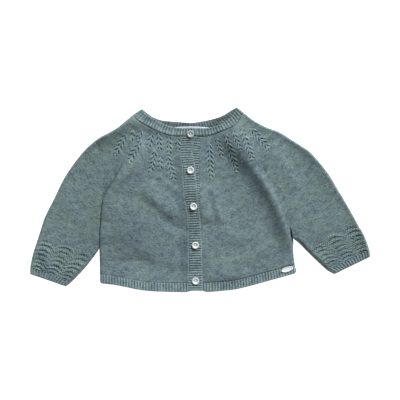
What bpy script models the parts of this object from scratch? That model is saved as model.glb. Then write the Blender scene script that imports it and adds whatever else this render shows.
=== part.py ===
"""Baby's knitted cardigan, buttoned up and lying flat on its back.

Built in the order it is knitted and sewn: a back, two fronts and two raglan sleeves, each sleeve
one piece of cloth folded over its outer edge and seamed under the arm; then the ribbed hems, cuffs
and neckband, the two button bands, five buttons with their thread, a bare woven neck label and a
bare oval badge.

Frame: the origin is on the surface, under the middle of the garment. +X runs to the wearer's left,
+Y to the neck, +Z up. Lengths are in millimetres and are turned into metres where meshes are made.
"""
import math

import bmesh
import bpy
import numpy as np

MM = 0.001

# ------------------------------------------------------------------------------------------------
# Driving dimensions
# ------------------------------------------------------------------------------------------------
CLOTH = 2.0              # thickness of the plain knit
RIB_LOW = 1.6            # thickness of the ribbed knit in its grooves
RIB_HIGH = 2.2           # and on its ridges
NECK_BACK = 1.9          # thickness of the neckband in its grooves, at the back
BACK_RIB = 0.3           # height of the ridges on that stretch's inside
LAYER_GAP = 0.4          # air between the back layer and the front layer where they lie closest
SEAM = 0.3               # air between two pieces sewn edge to edge
NECK_SEAM = 0.55         # the same, measured straight down below the neckband's sloping edge
RAGLAN_CLEAR = 0.45      # how far a sleeve's end at the neckband keeps from the raglan seam's end
EDGE_REACH = 3.6         # width of the rounding along a folded edge
UNDERARM_REACH = 7.0     # width of the softer rounding along the sleeve's inner edge
UNDERARM_FADE = 12.0     # length over which a seam turns from flat to folded at the underarm
NOTCH_SHARE = 0.1        # share of that length which lies above the underarm's notch
FOLD_FADE = 5.0          # width beside a folded side over which the soft folds settle
AIR_LIFT = 1.0           # the upper layer stands off the back by this much more
NECK_SETTLES = 0.75      # share of the soft folds' height that is gone at the neck's upper edge
EDGE_STEPS = (0.0, 0.45, 1.6, EDGE_REACH)           # columns of points beside a folded edge
UNDERARM_STEPS = (0.0, 0.8, 3.0, UNDERARM_REACH)    # and beside the sleeve's inner edge

HEM_HEIGHT = 13.0
HEM_RIB_PITCH = 4.1
CUFF_RIB_PITCH = 3.9
NECK_RIB_PITCH = 4.2
BAND_RIB_PITCH = 3.6
BAND_AIR = 0.5                  # air between the two bands, which bend over the folds
BAND_STEP = RIB_HIGH + BAND_AIR # how far the upper band lies above the lower one
BAND_RAMP = 14.0                # width over which the right front climbs onto the bands

BUTTON_RADIUS = 5.2
BUTTON_HEIGHT = 2.4
BUTTON_DISH = 0.8
BUTTON_HOLE_RADIUS = 0.75
BUTTON_HOLE_OFFSET = 1.3        # from the button's middle to each of its two holes
EYELET_RADIUS = 1.9             # buttonhole: a round knitted eyelet behind the button
THREAD = 0.8                    # sewing thread of a button, as one square bundle

LABEL_SIZE = (54.0, 14.0, 0.4)
LABEL_PLACE = (-13.4, 99.6)
LABEL_ROOM = 1.0                # the front lifts this much over the label,
LABEL_ROOM_REACH = (60.0, 22.0) # and this far to each side of its middle
BADGE_LENGTH = 17.7
BADGE_WIDTH = 7.3
BADGE_HEIGHT = 1.1
BADGE_PLACE = (126.4, -100.6)
BADGE_TURN = 17.0               # degrees

SPRIG_HEIGHT = 1.0
SPRIG_HALF_WIDTH = 6.5
SPRIG_EDGE = 1.5                # width over which a sprig's leaflets fade out at their tips
SPRIG_STEM = 1.5
LEAFLET_PITCH = 7.3
LEAFLET_SLANT = 0.75            # how far a leaflet runs down the stem for each mm it runs out
FERN_PITCH = 7.8
FERN_COUNT = 3
FERN_STEM = 1.6
FERN_EDGE = 1.5

HALF_HEIGHT = (2 * CLOTH + LAYER_GAP) / 2       # where the two layers meet at a folded edge
AT_EDGE = 0.01                  # points nearer than this to an edge are the edge's own

# ------------------------------------------------------------------------------------------------
# Edges seen from above, one row for each bend: x, y. "right" and "left" are the wearer's.
# ------------------------------------------------------------------------------------------------
RIGHT_RAGLAN = [(-84.8, 111.2), (-95.0, 89.9), (-105.9, 65.3), (-111.7, 55.1), (-119.8, 38.3),
                (-129.1, 22.6), (-137.3, 10.9)]
RIGHT_SIDE = [(-137.3, 10.9), (-140.9, 0.4), (-142.8, -10.7), (-144.3, -29.0), (-145.4, -47.9),
              (-145.8, -70.6), (-145.3, -89.9), (-145.2, -107.8), (-145.0, -120.8)]
RIGHT_UNDERARM_SEAM = [(-146.3, -71.0), (-152.6, -80.5), (-166.9, -98.7), (-185.9, -118.5),
                       (-194.6, -125.2)]
RIGHT_SLEEVE_FOLD = [(-97.4, 123.4), (-118.9, 105.9), (-133.4, 97.2), (-149.4, 88.2),
                     (-169.7, 69.6), (-194.3, 36.3), (-211.7, 1.5), (-224.8, -24.7),
                     (-231.7, -45.7), (-235.9, -58.7), (-242.2, -78.3), (-245.9, -97.3),
                     (-246.2, -107.3)]

LEFT_RAGLAN = [(53.7, 111.9), (68.2, 87.7), (81.5, 64.5), (90.3, 47.9), (100.6, 29.4),
               (117.5, 10.2)]
LEFT_SIDE = [(117.5, 10.2), (125.4, -13.1), (129.8, -30.2), (134.9, -55.1), (135.3, -68.2),
             (136.0, -81.2), (137.4, -91.4), (139.9, -105.9)]
LEFT_UNDERARM_SEAM = [(135.0, -55.6), (145.0, -63.9), (154.2, -73.4), (170.5, -89.2),
                      (184.6, -101.9), (194.9, -107.4)]
LEFT_SLEEVE_FOLD = [(63.8, 126.6), (76.1, 116.8), (93.4, 106.8), (115.2, 98.4), (131.2, 88.5),
                    (150.2, 76.4), (163.4, 66.1), (185.3, 39.6), (200.5, 14.5), (213.5, -7.3),
                    (224.4, -26.7), (230.0, -37.1), (238.3, -51.4), (245.5, -71.3),
                    (246.9, -82.2)]

# The same row of the four neckband edges is one place round the neck, from shoulder to shoulder.
NECK_TOP = [(-84.5, 132.4), (-79.0, 125.7), (-69.2, 119.3), (-52.3, 110.3), (-35.5, 105.1),
            (-13.5, 104.5), (8.6, 104.3), (28.0, 109.0), (40.9, 116.7), (48.6, 125.4), (53.5, 134.6)]
NECK_LOW = [(-97.4, 123.4), (-89.2, 114.6), (-76.4, 106.6), (-57.6, 97.3), (-38.4, 92.5),
            (-13.5, 92.8), (10.2, 92.4), (32.6, 99.8), (47.9, 107.0), (57.0, 115.3), (63.8, 126.6)]
BACK_NECK_TOP = [(-84.5, 132.4), (-77.6, 126.9), (-68.2, 120.2), (-53.7, 115.4), (-33.4, 113.4),
                 (-12.3, 112.2), (5.8, 114.6), (21.8, 118.3), (34.1, 123.0), (44.2, 129.4),
                 (53.5, 134.6)]
BACK_NECK_LOW = [(-97.4, 123.4), (-89.2, 114.6), (-76.4, 106.6), (-57.6, 102.0), (-38.4, 100.6),
                 (-13.5, 100.0), (10.2, 101.0), (32.6, 103.6), (47.9, 107.6), (57.0, 115.3),
                 (63.8, 126.6)]

HEM_LINE = [(-145.0, -120.8), (-124.7, -123.1), (-107.3, -126.4), (-89.9, -129.9), (-72.5, -132.1),
            (-50.8, -133.1), (-16.2, -133.4), (5.8, -133.3), (31.9, -131.8), (49.3, -129.9),
            (66.7, -126.2), (84.1, -121.5), (101.5, -116.7), (118.9, -111.9), (139.9, -105.9)]
HEM_FOOT = HEM_LINE[:5] + [(-50.8, -133.1), (-28.0, -133.6), (-19.0, -133.4), (-12.5, -131.7),
                           (3.0, -131.7), (9.0, -133.2), (18.0, -133.1)] + HEM_LINE[8:]

# Upper (buttonhole) band: its seam and its free edge. Lower (button) band: free edge and seam.
UPPER_SEAM = [(-24.6, 92.2), (-28.4, 78.3), (-27.6, 63.8), (-24.9, 50.8), (-23.8, 30.5),
              (-21.9, 2.9), (-17.1, -24.7), (-16.2, -58.0), (-16.1, -94.3), (-16.2, -119.6),
              (-16.2, -131.5)]
UPPER_FREE = [(-3.9, 92.2), (-9.9, 78.3), (-10.3, 63.8), (-6.8, 50.8), (-5.1, 29.0), (-3.5, 5.8),
              (0.3, -24.7), (2.6, -58.0), (3.6, -94.3), (4.2, -119.6), (4.4, -131.5)]
LOWER_FREE = [(-19.0, 92.2), (-18.0, 40.0), (-15.4, -24.7), (-15.2, -119.6), (-15.2, -131.5)]
LOWER_SEAM = [(0.3, 92.2), (-1.0, 63.8), (-0.5, 2.9), (0.4, -58.0), (0.7, -119.6), (0.7, -131.5)]
UNDER_NECK_END = -19.0          # x of the neckband's end that lies below
UPPER_NECK_END = -3.9           # x of the neckband's end that lies on top

BUTTONS = [(-13.8, 95.7), (-13.8, 43.1), (-9.3, -9.7), (-6.7, -65.8), (-6.4, -117.7)]

# Leaf sprigs knitted into the yoke: x and y of the stem's top, then of its tip.
SPRIGS = [(-107.3, 95.7, -124.0, 63.8), (-84.1, 88.5, -105.0, 52.8),
          (-95.7, 102.5, -100.5, 85.0), (-84.5, 103.0, -91.0, 88.0), (-70.0, 95.5, -75.4, 75.4),
          (-60.9, 99.2, -58.0, 69.6), (-64.5, 72.5, -73.1, 37.7), (-57.0, 63.5, -58.5, 41.0),
          (-45.7, 91.9, -45.0, 64.5), (-33.4, 88.0, -31.9, 69.0), (-47.9, 63.8, -36.8, 25.1),
          (12.8, 84.7, 16.0, 26.6), (23.5, 89.5, 32.0, 60.0), (36.3, 95.8, 54.2, 37.7),
          (47.0, 100.5, 59.5, 70.0), (60.0, 104.0, 76.6, 55.1), (73.0, 104.0, 102.1, 71.6)]

# Soft folds of the upper layer: height (a trough's is negative), width to the left and to the
# right of its crest, and places along the crest, x and y.
FOLDS = [(8.4, 50, 15, [(20, 97), (35, 91), (49, 81), (69, 60), (90, 31), (111, -6), (125, -45),
                        (133, -75)]),
         (2.4, 5, 9, [(73, 55), (90, 31), (111, -6), (125, -45), (133, -75)]),
         (5.0, 14, 18, [(43, 114), (53, 96), (66, 73), (80, 48)]),
         (2.8, 8, 12, [(-98, 118), (-75, 107), (-52, 99), (-30, 95), (-8, 94)]),
         (7.6, 46, 44, [(-66, 94), (-76, 58), (-84, 18), (-88, -30), (-88, -88)]),
         (3.0, 28, 60, [(-4, 84), (-6, 20), (-2, -20), (0, -75)]),
         (3.4, 22, 6, [(-106, 66), (-122, 36), (-137, 4), (-145, -30)]),
         (2.8, 44, 16, [(-134, 14), (-142, -10), (-146, -36), (-143, -66)]),
         (3.2, 9, 14, [(-74, 84), (-92, 58), (-112, 33), (-134, 4)]),
         (2.8, 8, 16, [(104, 84), (124, 48), (142, 12)]),
         (3.2, 7, 14, [(131, 98), (157, 75), (181, 40), (201, -1)]),
         (3.8, 10, 7, [(5, 22), (9, -6), (17, -34)]),
         (3.2, 8, 6, [(18, 22), (23, -4), (31, -36)]),
         (3.6, 16, 9, [(-86, 21), (-75, 11), (-58, -6), (-46, -17), (-38, -22)]),
         (-2.0, 10, 6, [(-57, -27), (-37, -38), (-14, -47)]),
         (2.4, 17, 11, [(-90, -64), (-74, -79), (-54, -87), (-22, -89), (7, -76), (14, -62)]),
         (5.6, 8, 13, [(-152, 85), (-130, 98), (-108, 110), (-84, 121)]),
         (4.6, 26, 8, [(-134, -120), (-92, -129), (-45, -133), (0, -133)]),
         (2.8, 22, 10, [(4, -108), (32, -110), (70, -104)]),
         (1.8, 9, 9, [(47, -91), (80, -79), (110, -59)]),
         (2.5, 5, 9, [(226, -22), (240, -50), (246, -88)])]


# ------------------------------------------------------------------------------------------------
# Curves and grids seen from above
# ------------------------------------------------------------------------------------------------
def smooth(table, at):
    """Points of a smooth curve through a table's rows; `at` counts rows, 0 for the first.

    Between rows i and i + 1 it is the cubic with the rows as its ends and, as its end slopes,
    half the step between their neighbours.
    """
    rows = np.asarray(table, float)
    slopes = np.gradient(rows, axis=0)
    at = np.clip(np.asarray(at, float), 0, len(rows) - 1)
    i = np.minimum(at.astype(int), len(rows) - 2)
    t = (at - i)[:, None]
    start, end = rows[i], rows[i + 1]
    leave, arrive = slopes[i], slopes[i + 1]
    return (start * (2 * t**3 - 3 * t**2 + 1) + leave * (t**3 - 2 * t**2 + t)
            + end * (3 * t**2 - 2 * t**3) + arrive * (t**3 - t**2))


def lengths(points):
    """Distance along a run of points, from its start to each of them."""
    steps = np.linalg.norm(np.diff(points, axis=0), axis=1)
    return np.concatenate(([0.0], np.cumsum(steps)))


def run(table, first, last, shares):
    """Points at the given shares of the length of a smooth curve, between two of its rows."""
    at = np.linspace(first, last, 401)
    along = lengths(smooth(table, at))
    return smooth(table, np.interp(np.asarray(shares) * along[-1], along, at))


def evenly(table, first, last, count):
    return run(table, first, last, np.linspace(0, 1, count))


def row_at_x(table, x):
    """Where a curve whose x grows along it reaches x, counted in rows."""
    at = np.linspace(0, len(table) - 1, 801)
    return float(np.interp(x, smooth(table, at)[:, 0], at))


def join(*runs):
    """One run out of several that share their ends."""
    return np.concatenate([runs[0]] + [each[1:] for each in runs[1:]])


def aside(points, gap):
    """A run moved sideways, to its left as it goes, by a gap."""
    along = np.gradient(points, axis=0)
    along /= np.linalg.norm(along, axis=1)[:, None]
    return points + gap * np.stack([-along[:, 1], along[:, 0]], axis=1)


def patch(left, right, across, top=None, bottom=None):
    """Grid of plan points between two runs, row by row, bent at its ends to two curves.

    P = (1 - u) left + u right + (1 - v) (top(u) - its chord) + v (bottom(u) - its chord), where
    u comes from `across`, a share for each row and column, and v is the way down the left run.
    """
    u = across[:, :, None]
    v = (lengths(left) / lengths(left)[-1])[:, None, None]
    grid = (1 - u) * left[:, None] + u * right[:, None]
    for curve, fade, end in ((top, 1 - v, 0), (bottom, v, -1)):
        if curve is not None:
            flat = u.reshape(-1, 1)
            chord = (1 - flat) * left[end] + flat * right[end]
            grid += fade * (curve(flat[:, 0]) - chord).reshape(grid.shape)
    return grid


def columns(width, start=(0.0,), end=(0.0,), count=10):
    """Shares across rows of the given widths: fixed distances near each side, even between."""
    shares = []
    for each in width:
        first = np.asarray(start) / each
        last = 1 - np.asarray(end[::-1]) / each
        between = np.linspace(first[-1], last[0], count)[1:-1]
        shares.append(np.concatenate([first, between, last]))
    return np.array(shares)


# ------------------------------------------------------------------------------------------------
# Heights
# ------------------------------------------------------------------------------------------------
def ease(t):
    """0 below 0, 1 above 1, smooth between."""
    t = np.clip(t, 0, 1)
    return t * t * (3 - 2 * t)


def rounding(distance, reach=EDGE_REACH):
    """Share of the full height at a distance from a folded edge: a quarter of an ellipse."""
    return np.sqrt(1 - np.clip(1 - distance / reach, 0, 1)**2)


CREST_PLACES = 4         # places along a soft fold's crest for each row of its table
RIM_PLACES = 25          # places round the rim of a button or the badge


def fold_height(x, y, height, left_width, right_width, crest):
    """One soft fold's height at each place.

    It is height exp(-(d / width)^2) (1 - (2 t - 1)^4), where d is the distance from the crest's
    curve and t the share of the curve's length at its nearest place.
    """
    line = smooth(crest, np.linspace(0, len(crest) - 1, CREST_PLACES * len(crest)))
    along = lengths(line) / lengths(line)[-1]
    nearest = np.full(np.shape(x), np.inf)
    side, t = np.zeros(np.shape(x)), np.zeros(np.shape(x))
    for start, end, first, last in zip(line, line[1:], along, along[1:]):
        step_x, step_y = end - start
        share = (x - start[0]) * step_x + (y - start[1]) * step_y
        share = np.clip(share / (step_x**2 + step_y**2), 0, 1)
        away = (x - start[0] - share * step_x)**2 + (y - start[1] - share * step_y)**2
        closer = away < nearest
        nearest = np.where(closer, away, nearest)
        side = np.where(closer, step_x * (y - start[1]) - step_y * (x - start[0]), side)
        t = np.where(closer, first + share * (last - first), t)
    width = np.where(side > 0, left_width, right_width)
    return height * np.exp(-nearest / width**2) * (1 - (2 * t - 1)**4)


def upper_inside(x, y, share=1.0):
    """Height of the upper layer's underside: the back layer, the gap, the air and the folds, of
    which a share may be left, and the room for the label."""
    folds = AIR_LIFT + sum(fold_height(x, y, *fold) for fold in FOLDS)
    across_label = (x - LABEL_PLACE[0]) / LABEL_ROOM_REACH[0]
    along_label = (y - LABEL_PLACE[1]) / LABEL_ROOM_REACH[1]
    room = LABEL_ROOM * np.exp(-across_label**4 - along_label**4)
    return CLOTH + LAYER_GAP + share * np.maximum(folds, 0) + room


def seat_level(x, y, half_length, half_width, turn=0.0):
    """The upper layer's greatest height under an oval piece, round its rim and at its middle."""
    angles = np.linspace(0, 2 * np.pi, RIM_PLACES)
    along = np.append(half_length * np.cos(angles), 0)
    beside = np.append(half_width * np.sin(angles), 0)
    cos, sin = math.cos(math.radians(turn)), math.sin(math.radians(turn))
    return upper_inside(x + along * cos - beside * sin, y + along * sin + beside * cos).max()


def band_climb(x, y):
    """How far the right front has climbed towards the upper band's level at a place."""
    at = np.linspace(0, len(UPPER_SEAM) - 1, 401)
    seam = smooth(UPPER_SEAM, at)[::-1]
    seam_x = np.interp(y, seam[:, 1], seam[:, 0])
    return BAND_STEP * ease(1 - (seam_x - x) / BAND_RAMP)


def sprig_relief(x, y):
    """Height of the knitted leaf sprigs: a raised stem with slanting leaflets on both sides.

    s runs down the stem and t out from it; a leaflet crests where s - slant t is a whole number
    of pitches, and the sprig fades out along a pointed oval.
    """
    height = np.zeros(np.shape(x))
    for top_x, top_y, tip_x, tip_y in SPRIGS:
        length = math.hypot(tip_x - top_x, tip_y - top_y)
        along_x, along_y = (tip_x - top_x) / length, (tip_y - top_y) / length
        s = (x - top_x) * along_x + (y - top_y) * along_y
        t = np.abs((y - top_y) * along_x - (x - top_x) * along_y)
        leaflets = 0.5 + 0.5 * np.cos(2 * np.pi * (s - LEAFLET_SLANT * t) / LEAFLET_PITCH)
        middle = np.clip(1 - (2 * s / length - 1)**2, 0, 1)
        half_width = SPRIG_HALF_WIDTH * np.sqrt(middle)
        inside = np.clip((half_width - t) / SPRIG_EDGE, 0, 1)
        stem = np.exp(-(t / SPRIG_STEM)**2) * (middle > 0)
        height = np.maximum(height, SPRIG_HEIGHT * np.maximum(stem, leaflets) * inside)
    return height


# ------------------------------------------------------------------------------------------------
# Meshes
# ------------------------------------------------------------------------------------------------
def material(name, colour, roughness):
    """A piece's own material; none of the pieces is metal."""
    made = bpy.data.materials.new(name)
    made.use_nodes = True
    shader = made.node_tree.nodes["Principled BSDF"]
    shader.inputs["Base Color"].default_value = (*colour, 1.0)
    shader.inputs["Roughness"].default_value = roughness
    shader.inputs["Metallic"].default_value = 0.0
    made.diffuse_color = (*colour, 1.0)
    return made


def add_object(name, mesh, look, smooth_below=None):
    """Puts a mesh in the scene under a name, in a material of its own colour and roughness.

    Edges that turn by less than `smooth_below` degrees shade smooth.
    """
    mesh.materials.append(material(name, *look))
    if smooth_below is not None:
        mesh.shade_smooth()
        mesh.set_sharp_from_angle(angle=math.radians(smooth_below))
    made = bpy.data.objects.new(name, mesh)
    bpy.context.scene.collection.objects.link(made)
    return made


def zip_runs(outside, inside, points):
    """Triangles between two runs of vertices that start and end at matching corners.

    Each step goes on along the run whose next vertex is the nearer one to the other run.
    """
    i, j, faces = 0, 0, []
    while i < len(outside) - 1 or j < len(inside) - 1:
        step_outside = j == len(inside) - 1
        if i < len(outside) - 1 and j < len(inside) - 1:
            ahead_outside = np.linalg.norm(points[outside[i + 1]] - points[inside[j]])
            ahead_inside = np.linalg.norm(points[outside[i]] - points[inside[j + 1]])
            step_outside = ahead_outside <= ahead_inside
        if step_outside:
            faces.append((outside[i + 1], outside[i], inside[j]))
            i += 1
        else:
            faces.append((outside[i], inside[j], inside[j + 1]))
            j += 1
    return faces


def wall(name, outer, inner, look):
    """A closed piece of cloth between two grids of points, joined all round their borders."""
    points = np.concatenate([outer.reshape(-1, 3), inner.reshape(-1, 3)])
    front = np.arange(outer.shape[0] * outer.shape[1]).reshape(outer.shape[:2])
    back = front.size + np.arange(inner.shape[0] * inner.shape[1]).reshape(inner.shape[:2])
    faces = []
    for ids, turned in ((front, False), (back, True)):
        quads = np.stack([ids[:-1, :-1], ids[1:, :-1], ids[1:, 1:], ids[:-1, 1:]], axis=-1)
        quads = quads.reshape(-1, 4)
        faces += (quads[:, ::-1] if turned else quads).tolist()
    faces += zip_runs(front[0, ::-1], back[0, ::-1], points)
    faces += zip_runs(front[:, 0], back[:, 0], points)
    faces += zip_runs(front[-1], back[-1], points)
    faces += zip_runs(front[::-1, -1], back[::-1, -1], points)
    mesh = bpy.data.meshes.new(name)
    mesh.from_pydata((points * MM).tolist(), [], faces)
    shell = bmesh.new()
    shell.from_mesh(mesh)
    if shell.calc_volume(signed=True) < 0:
        bmesh.ops.reverse_faces(shell, faces=shell.faces)
    shell.to_mesh(mesh)
    shell.free()
    return add_object(name, mesh, look, smooth_below=50)


def lifted(plan, height):
    return np.concatenate([plan, np.asarray(height)[..., None]], axis=-1)


def folded_share(edge, notch):
    """0 down to the underarm's notch, then rising to 1: how far each row's edge is a fold."""
    run_down = lengths(edge)
    below = run_down - np.interp(-notch[1], -edge[:, 1], run_down)
    return ease(below / UNDERARM_FADE + NOTCH_SHARE)


def side_height(distance, folded, reach=EDGE_REACH):
    """Share of the full height near an edge that is folded in some of the rows."""
    return 1 - folded * (1 - rounding(distance, reach))


# ------------------------------------------------------------------------------------------------
# Body
# ------------------------------------------------------------------------------------------------
SPRIG_SHARE = 0.58              # share of the raglan seam's length beside which sprigs are knitted
# Rows of points beside the sprigs and below them. Every second row is also a row of the plain
# inside, so the underarm falls on an even row: 22 + 6 - 2 in a front, 16 + 6 - 2 in a sleeve.
YOKE_ROWS = (22, 6)
SLEEVE_YOKE_ROWS = (16, 6)
BACK_YOKE_ROWS = (8, 8)
BODY_ROWS = 9
FRONT_COLUMNS = 24              # columns of points across a front, besides those of its folded edge
FRONT_INSIDE_COLUMNS = 9
BACK_COLUMNS = 18
RIGHT_HEM_ROW = 7               # row of the side where the hem starts
LEFT_HEM_ROW = 6
UPPER_UNDERARM_ROW = 5          # row of the upper band's seam level with the underarm
UPPER_HEM_ROW = 9
LOWER_UNDERARM_ROW = 2          # the same rows of the lower band's seam
LOWER_HEM_ROW = 4


def yoke_run(table, first, last, rows):
    """The part of an edge beside the yoke: close rows where the sprigs are, wider ones below."""
    shares = join(np.linspace(0, SPRIG_SHARE, rows[0]), np.linspace(SPRIG_SHARE, 1, rows[1]))
    return run(table, first, last, shares)


def body_side(raglan, side, hem_row, rows):
    return join(yoke_run(raglan, 0, len(raglan) - 1, rows), evenly(side, 0, hem_row, BODY_ROWS))


def hem_top(first_x, last_x):
    """The line along the top of the hem, between two places across the body."""
    def curve(shares):
        first, last = row_at_x(HEM_LINE, first_x), row_at_x(HEM_LINE, last_x)
        return run(HEM_LINE, first, last, shares) + (0, HEM_HEIGHT)
    return curve


def neck_line(table, first_x, last_x):
    def curve(shares):
        return run(table, row_at_x(table, first_x), row_at_x(table, last_x), shares)
    return curve


def shifted(curve, gap):
    """A curve moved down by a seam's gap."""
    def moved(shares):
        return curve(shares) - (0, gap)
    return moved


def front_heights(plan, distance, folded, climbs, share=1.0):
    """Underside of a front panel: the upper layer's, lowered to the fold along its side."""
    x, y = plan[..., 0], plan[..., 1]
    inside = upper_inside(x, y, share)
    settled = CLOTH + LAYER_GAP
    near = ease(distance / FOLD_FADE)
    inside = settled + (inside - settled) * (1 - folded * (1 - near))
    return inside + (band_climb(x, y) if climbs else 0)


def pin_ends(left, right, top, bottom):
    """Puts the ends of both side edges on the curves across the top and the bottom."""
    for edge, share in ((left, 0.0), (right, 1.0)):
        edge[0] = top(np.array([share]))[0]
        edge[-1] = bottom(np.array([share]))[0]


def every_second(count, *others):
    """Every second of a number of rows, with the last one and any others named."""
    return np.unique(np.append(np.arange(0, count, 2), [*others, count - 1]))


def front_panel(name, left, right, top, bottom, side_is_left, climbs, look):
    """A front: outer grid with the leaf sprigs, plain inner grid, folded below the underarm."""
    grids = []
    width = np.linalg.norm(right - left, axis=1)
    notch = RIGHT_UNDERARM_SEAM[0] if side_is_left else LEFT_UNDERARM_SEAM[0]
    folded = folded_share(left if side_is_left else right, notch)[:, None]
    for count, is_outer in ((FRONT_COLUMNS, True), (FRONT_INSIDE_COLUMNS, False)):
        steps = EDGE_STEPS if is_outer else (0.0,)
        across = columns(width, steps if side_is_left else (0.0,),
                         (0.0,) if side_is_left else steps, count)
        if not is_outer:
            inset = (CLOTH / width)[:, None] * folded
            across = inset + across * (1 - inset) if side_is_left else across * (1 - inset)
        plan = patch(left, right, across, top, bottom)
        distance = (across if side_is_left else 1 - across) * width[:, None]
        inside = front_heights(plan, distance, folded, climbs)
        if is_outer:
            relief = sprig_relief(plan[..., 0], plan[..., 1])
            full = inside + CLOTH + relief - HALF_HEIGHT
            height = HALF_HEIGHT + full * side_height(distance, folded)
            height += folded * SEAM / 2 * (distance < AT_EDGE)
        else:
            edge = 0 if side_is_left else -1
            height = inside
            meet = HALF_HEIGHT + SEAM / 2
            height[:, edge] += folded[:, 0] * (meet - height[:, edge])
        grids.append(lifted(plan, height))
    return wall(name, grids[0], grids[1][every_second(len(left))], look)


def build_right_front(look):
    left = body_side(RIGHT_RAGLAN, RIGHT_SIDE, RIGHT_HEM_ROW, YOKE_ROWS)
    right = join(yoke_run(UPPER_SEAM, 0, UPPER_UNDERARM_ROW, YOKE_ROWS),
                 evenly(UPPER_SEAM, UPPER_UNDERARM_ROW, UPPER_HEM_ROW, BODY_ROWS))
    right = aside(right, -SEAM)
    top = shifted(neck_line(NECK_LOW, left[0, 0], right[0, 0]), NECK_SEAM)
    bottom = hem_top(left[-1, 0], right[-1, 0])
    pin_ends(left, right, top, bottom)
    return front_panel("right_front", left, right, top, bottom, True, True, look)


def build_left_front(look):
    right = body_side(LEFT_RAGLAN, LEFT_SIDE, LEFT_HEM_ROW, YOKE_ROWS)
    left = join(yoke_run(LOWER_SEAM, 0, LOWER_UNDERARM_ROW, YOKE_ROWS),
                evenly(LOWER_SEAM, LOWER_UNDERARM_ROW, LOWER_HEM_ROW, BODY_ROWS))
    left = aside(left, SEAM)
    top = shifted(neck_line(NECK_LOW, left[0, 0], right[0, 0]), NECK_SEAM)
    bottom = hem_top(left[-1, 0], right[-1, 0])
    pin_ends(left, right, top, bottom)
    return front_panel("left_front", left, right, top, bottom, False, False, look)


def back_wall(name, left, right, top, bottom, count, look):
    """The back: flat underneath, rounded up to the fold along both sides below the underarms."""
    width = np.linalg.norm(right - left, axis=1)
    start = sum(BACK_YOKE_ROWS) - 2
    folded = folded_share(left, RIGHT_UNDERARM_SEAM[0])[:, None]
    across = columns(width, EDGE_STEPS, EDGE_STEPS, count)
    plan = patch(left, right, across, top, bottom)
    distance = np.minimum(across, 1 - across) * width[:, None]
    under = HALF_HEIGHT * (1 - side_height(distance, folded))
    under -= folded * SEAM / 2 * (distance < AT_EDGE)
    inset = (CLOTH / width)[:, None] * folded
    across = inset + np.linspace(0, 1, count)[None, :] * (1 - 2 * inset)
    inner_plan = patch(left, right, across, top, bottom)
    height = np.full(inner_plan.shape[:2], CLOTH)
    height[:, [0, -1]] += folded * (HALF_HEIGHT - SEAM / 2 - CLOTH)
    inside = lifted(inner_plan, height)[every_second(len(left), start)]
    return wall(name, lifted(plan, under), inside, look)


def build_back(look):
    left = body_side(RIGHT_RAGLAN, RIGHT_SIDE, RIGHT_HEM_ROW, BACK_YOKE_ROWS)
    right = body_side(LEFT_RAGLAN, LEFT_SIDE, LEFT_HEM_ROW, BACK_YOKE_ROWS)
    top = shifted(neck_line(BACK_NECK_LOW, left[0, 0], right[0, 0]), NECK_SEAM)
    bottom = hem_top(left[-1, 0], right[-1, 0])
    pin_ends(left, right, top, bottom)
    return back_wall("back", left, right, top, bottom, BACK_COLUMNS, look)


# ------------------------------------------------------------------------------------------------
# Ribbed hems
# ------------------------------------------------------------------------------------------------
HEM_INSIDE_COLUMNS = 12         # columns of points on a front hem's plain inside
BACK_HEM_COLUMNS = 40


def rib_columns(length, pitch):
    """Shares along a ribbed edge with a groove and a ridge for each rib, and the ridges' mask."""
    ribs = max(1, round(length / pitch))
    shares = np.linspace(0, 1, 2 * ribs + 1)
    return shares, (np.arange(2 * ribs + 1) % 2).astype(float)


def hem_grid(foot_ends, head_ends, shares):
    """Plan of a stretch of hem: its top row, clear of the panel, and its lower edge."""
    rows = []
    for line, ends, rise in ((HEM_LINE, head_ends, HEM_HEIGHT - SEAM), (HEM_FOOT, foot_ends, 0.0)):
        first, last = (row_at_x(line, x) for x in ends)
        rows.append(run(line, first, last, shares) + (0, rise))
    return np.stack(rows)


def front_hem(name, foot_ends, head_ends, side_is_left, climbs, look):
    length = foot_ends[1] - foot_ends[0]
    shares, ridge = rib_columns(length, HEM_RIB_PITCH)
    distance = (shares if side_is_left else 1 - shares) * length
    outer_plan = hem_grid(foot_ends, head_ends, shares)
    inside = front_heights(outer_plan, distance, np.ones(1), climbs)
    thick = RIB_LOW + (RIB_HIGH - RIB_LOW) * ridge
    height = HALF_HEIGHT + (inside + thick - HALF_HEIGHT) * rounding(distance)
    height += SEAM / 2 * (distance < AT_EDGE)
    outer = lifted(outer_plan, height)
    start = CLOTH / length
    first, last = (start, 1) if side_is_left else (0, 1 - start)
    shares = np.linspace(first, last, HEM_INSIDE_COLUMNS)
    distance = (shares if side_is_left else 1 - shares) * length
    plan = hem_grid(foot_ends, head_ends, shares)
    inside = front_heights(plan, distance, np.ones(1), climbs)
    inside[:, 0 if side_is_left else -1] = HALF_HEIGHT + SEAM / 2
    return wall(name, outer, lifted(plan, inside), look)


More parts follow.
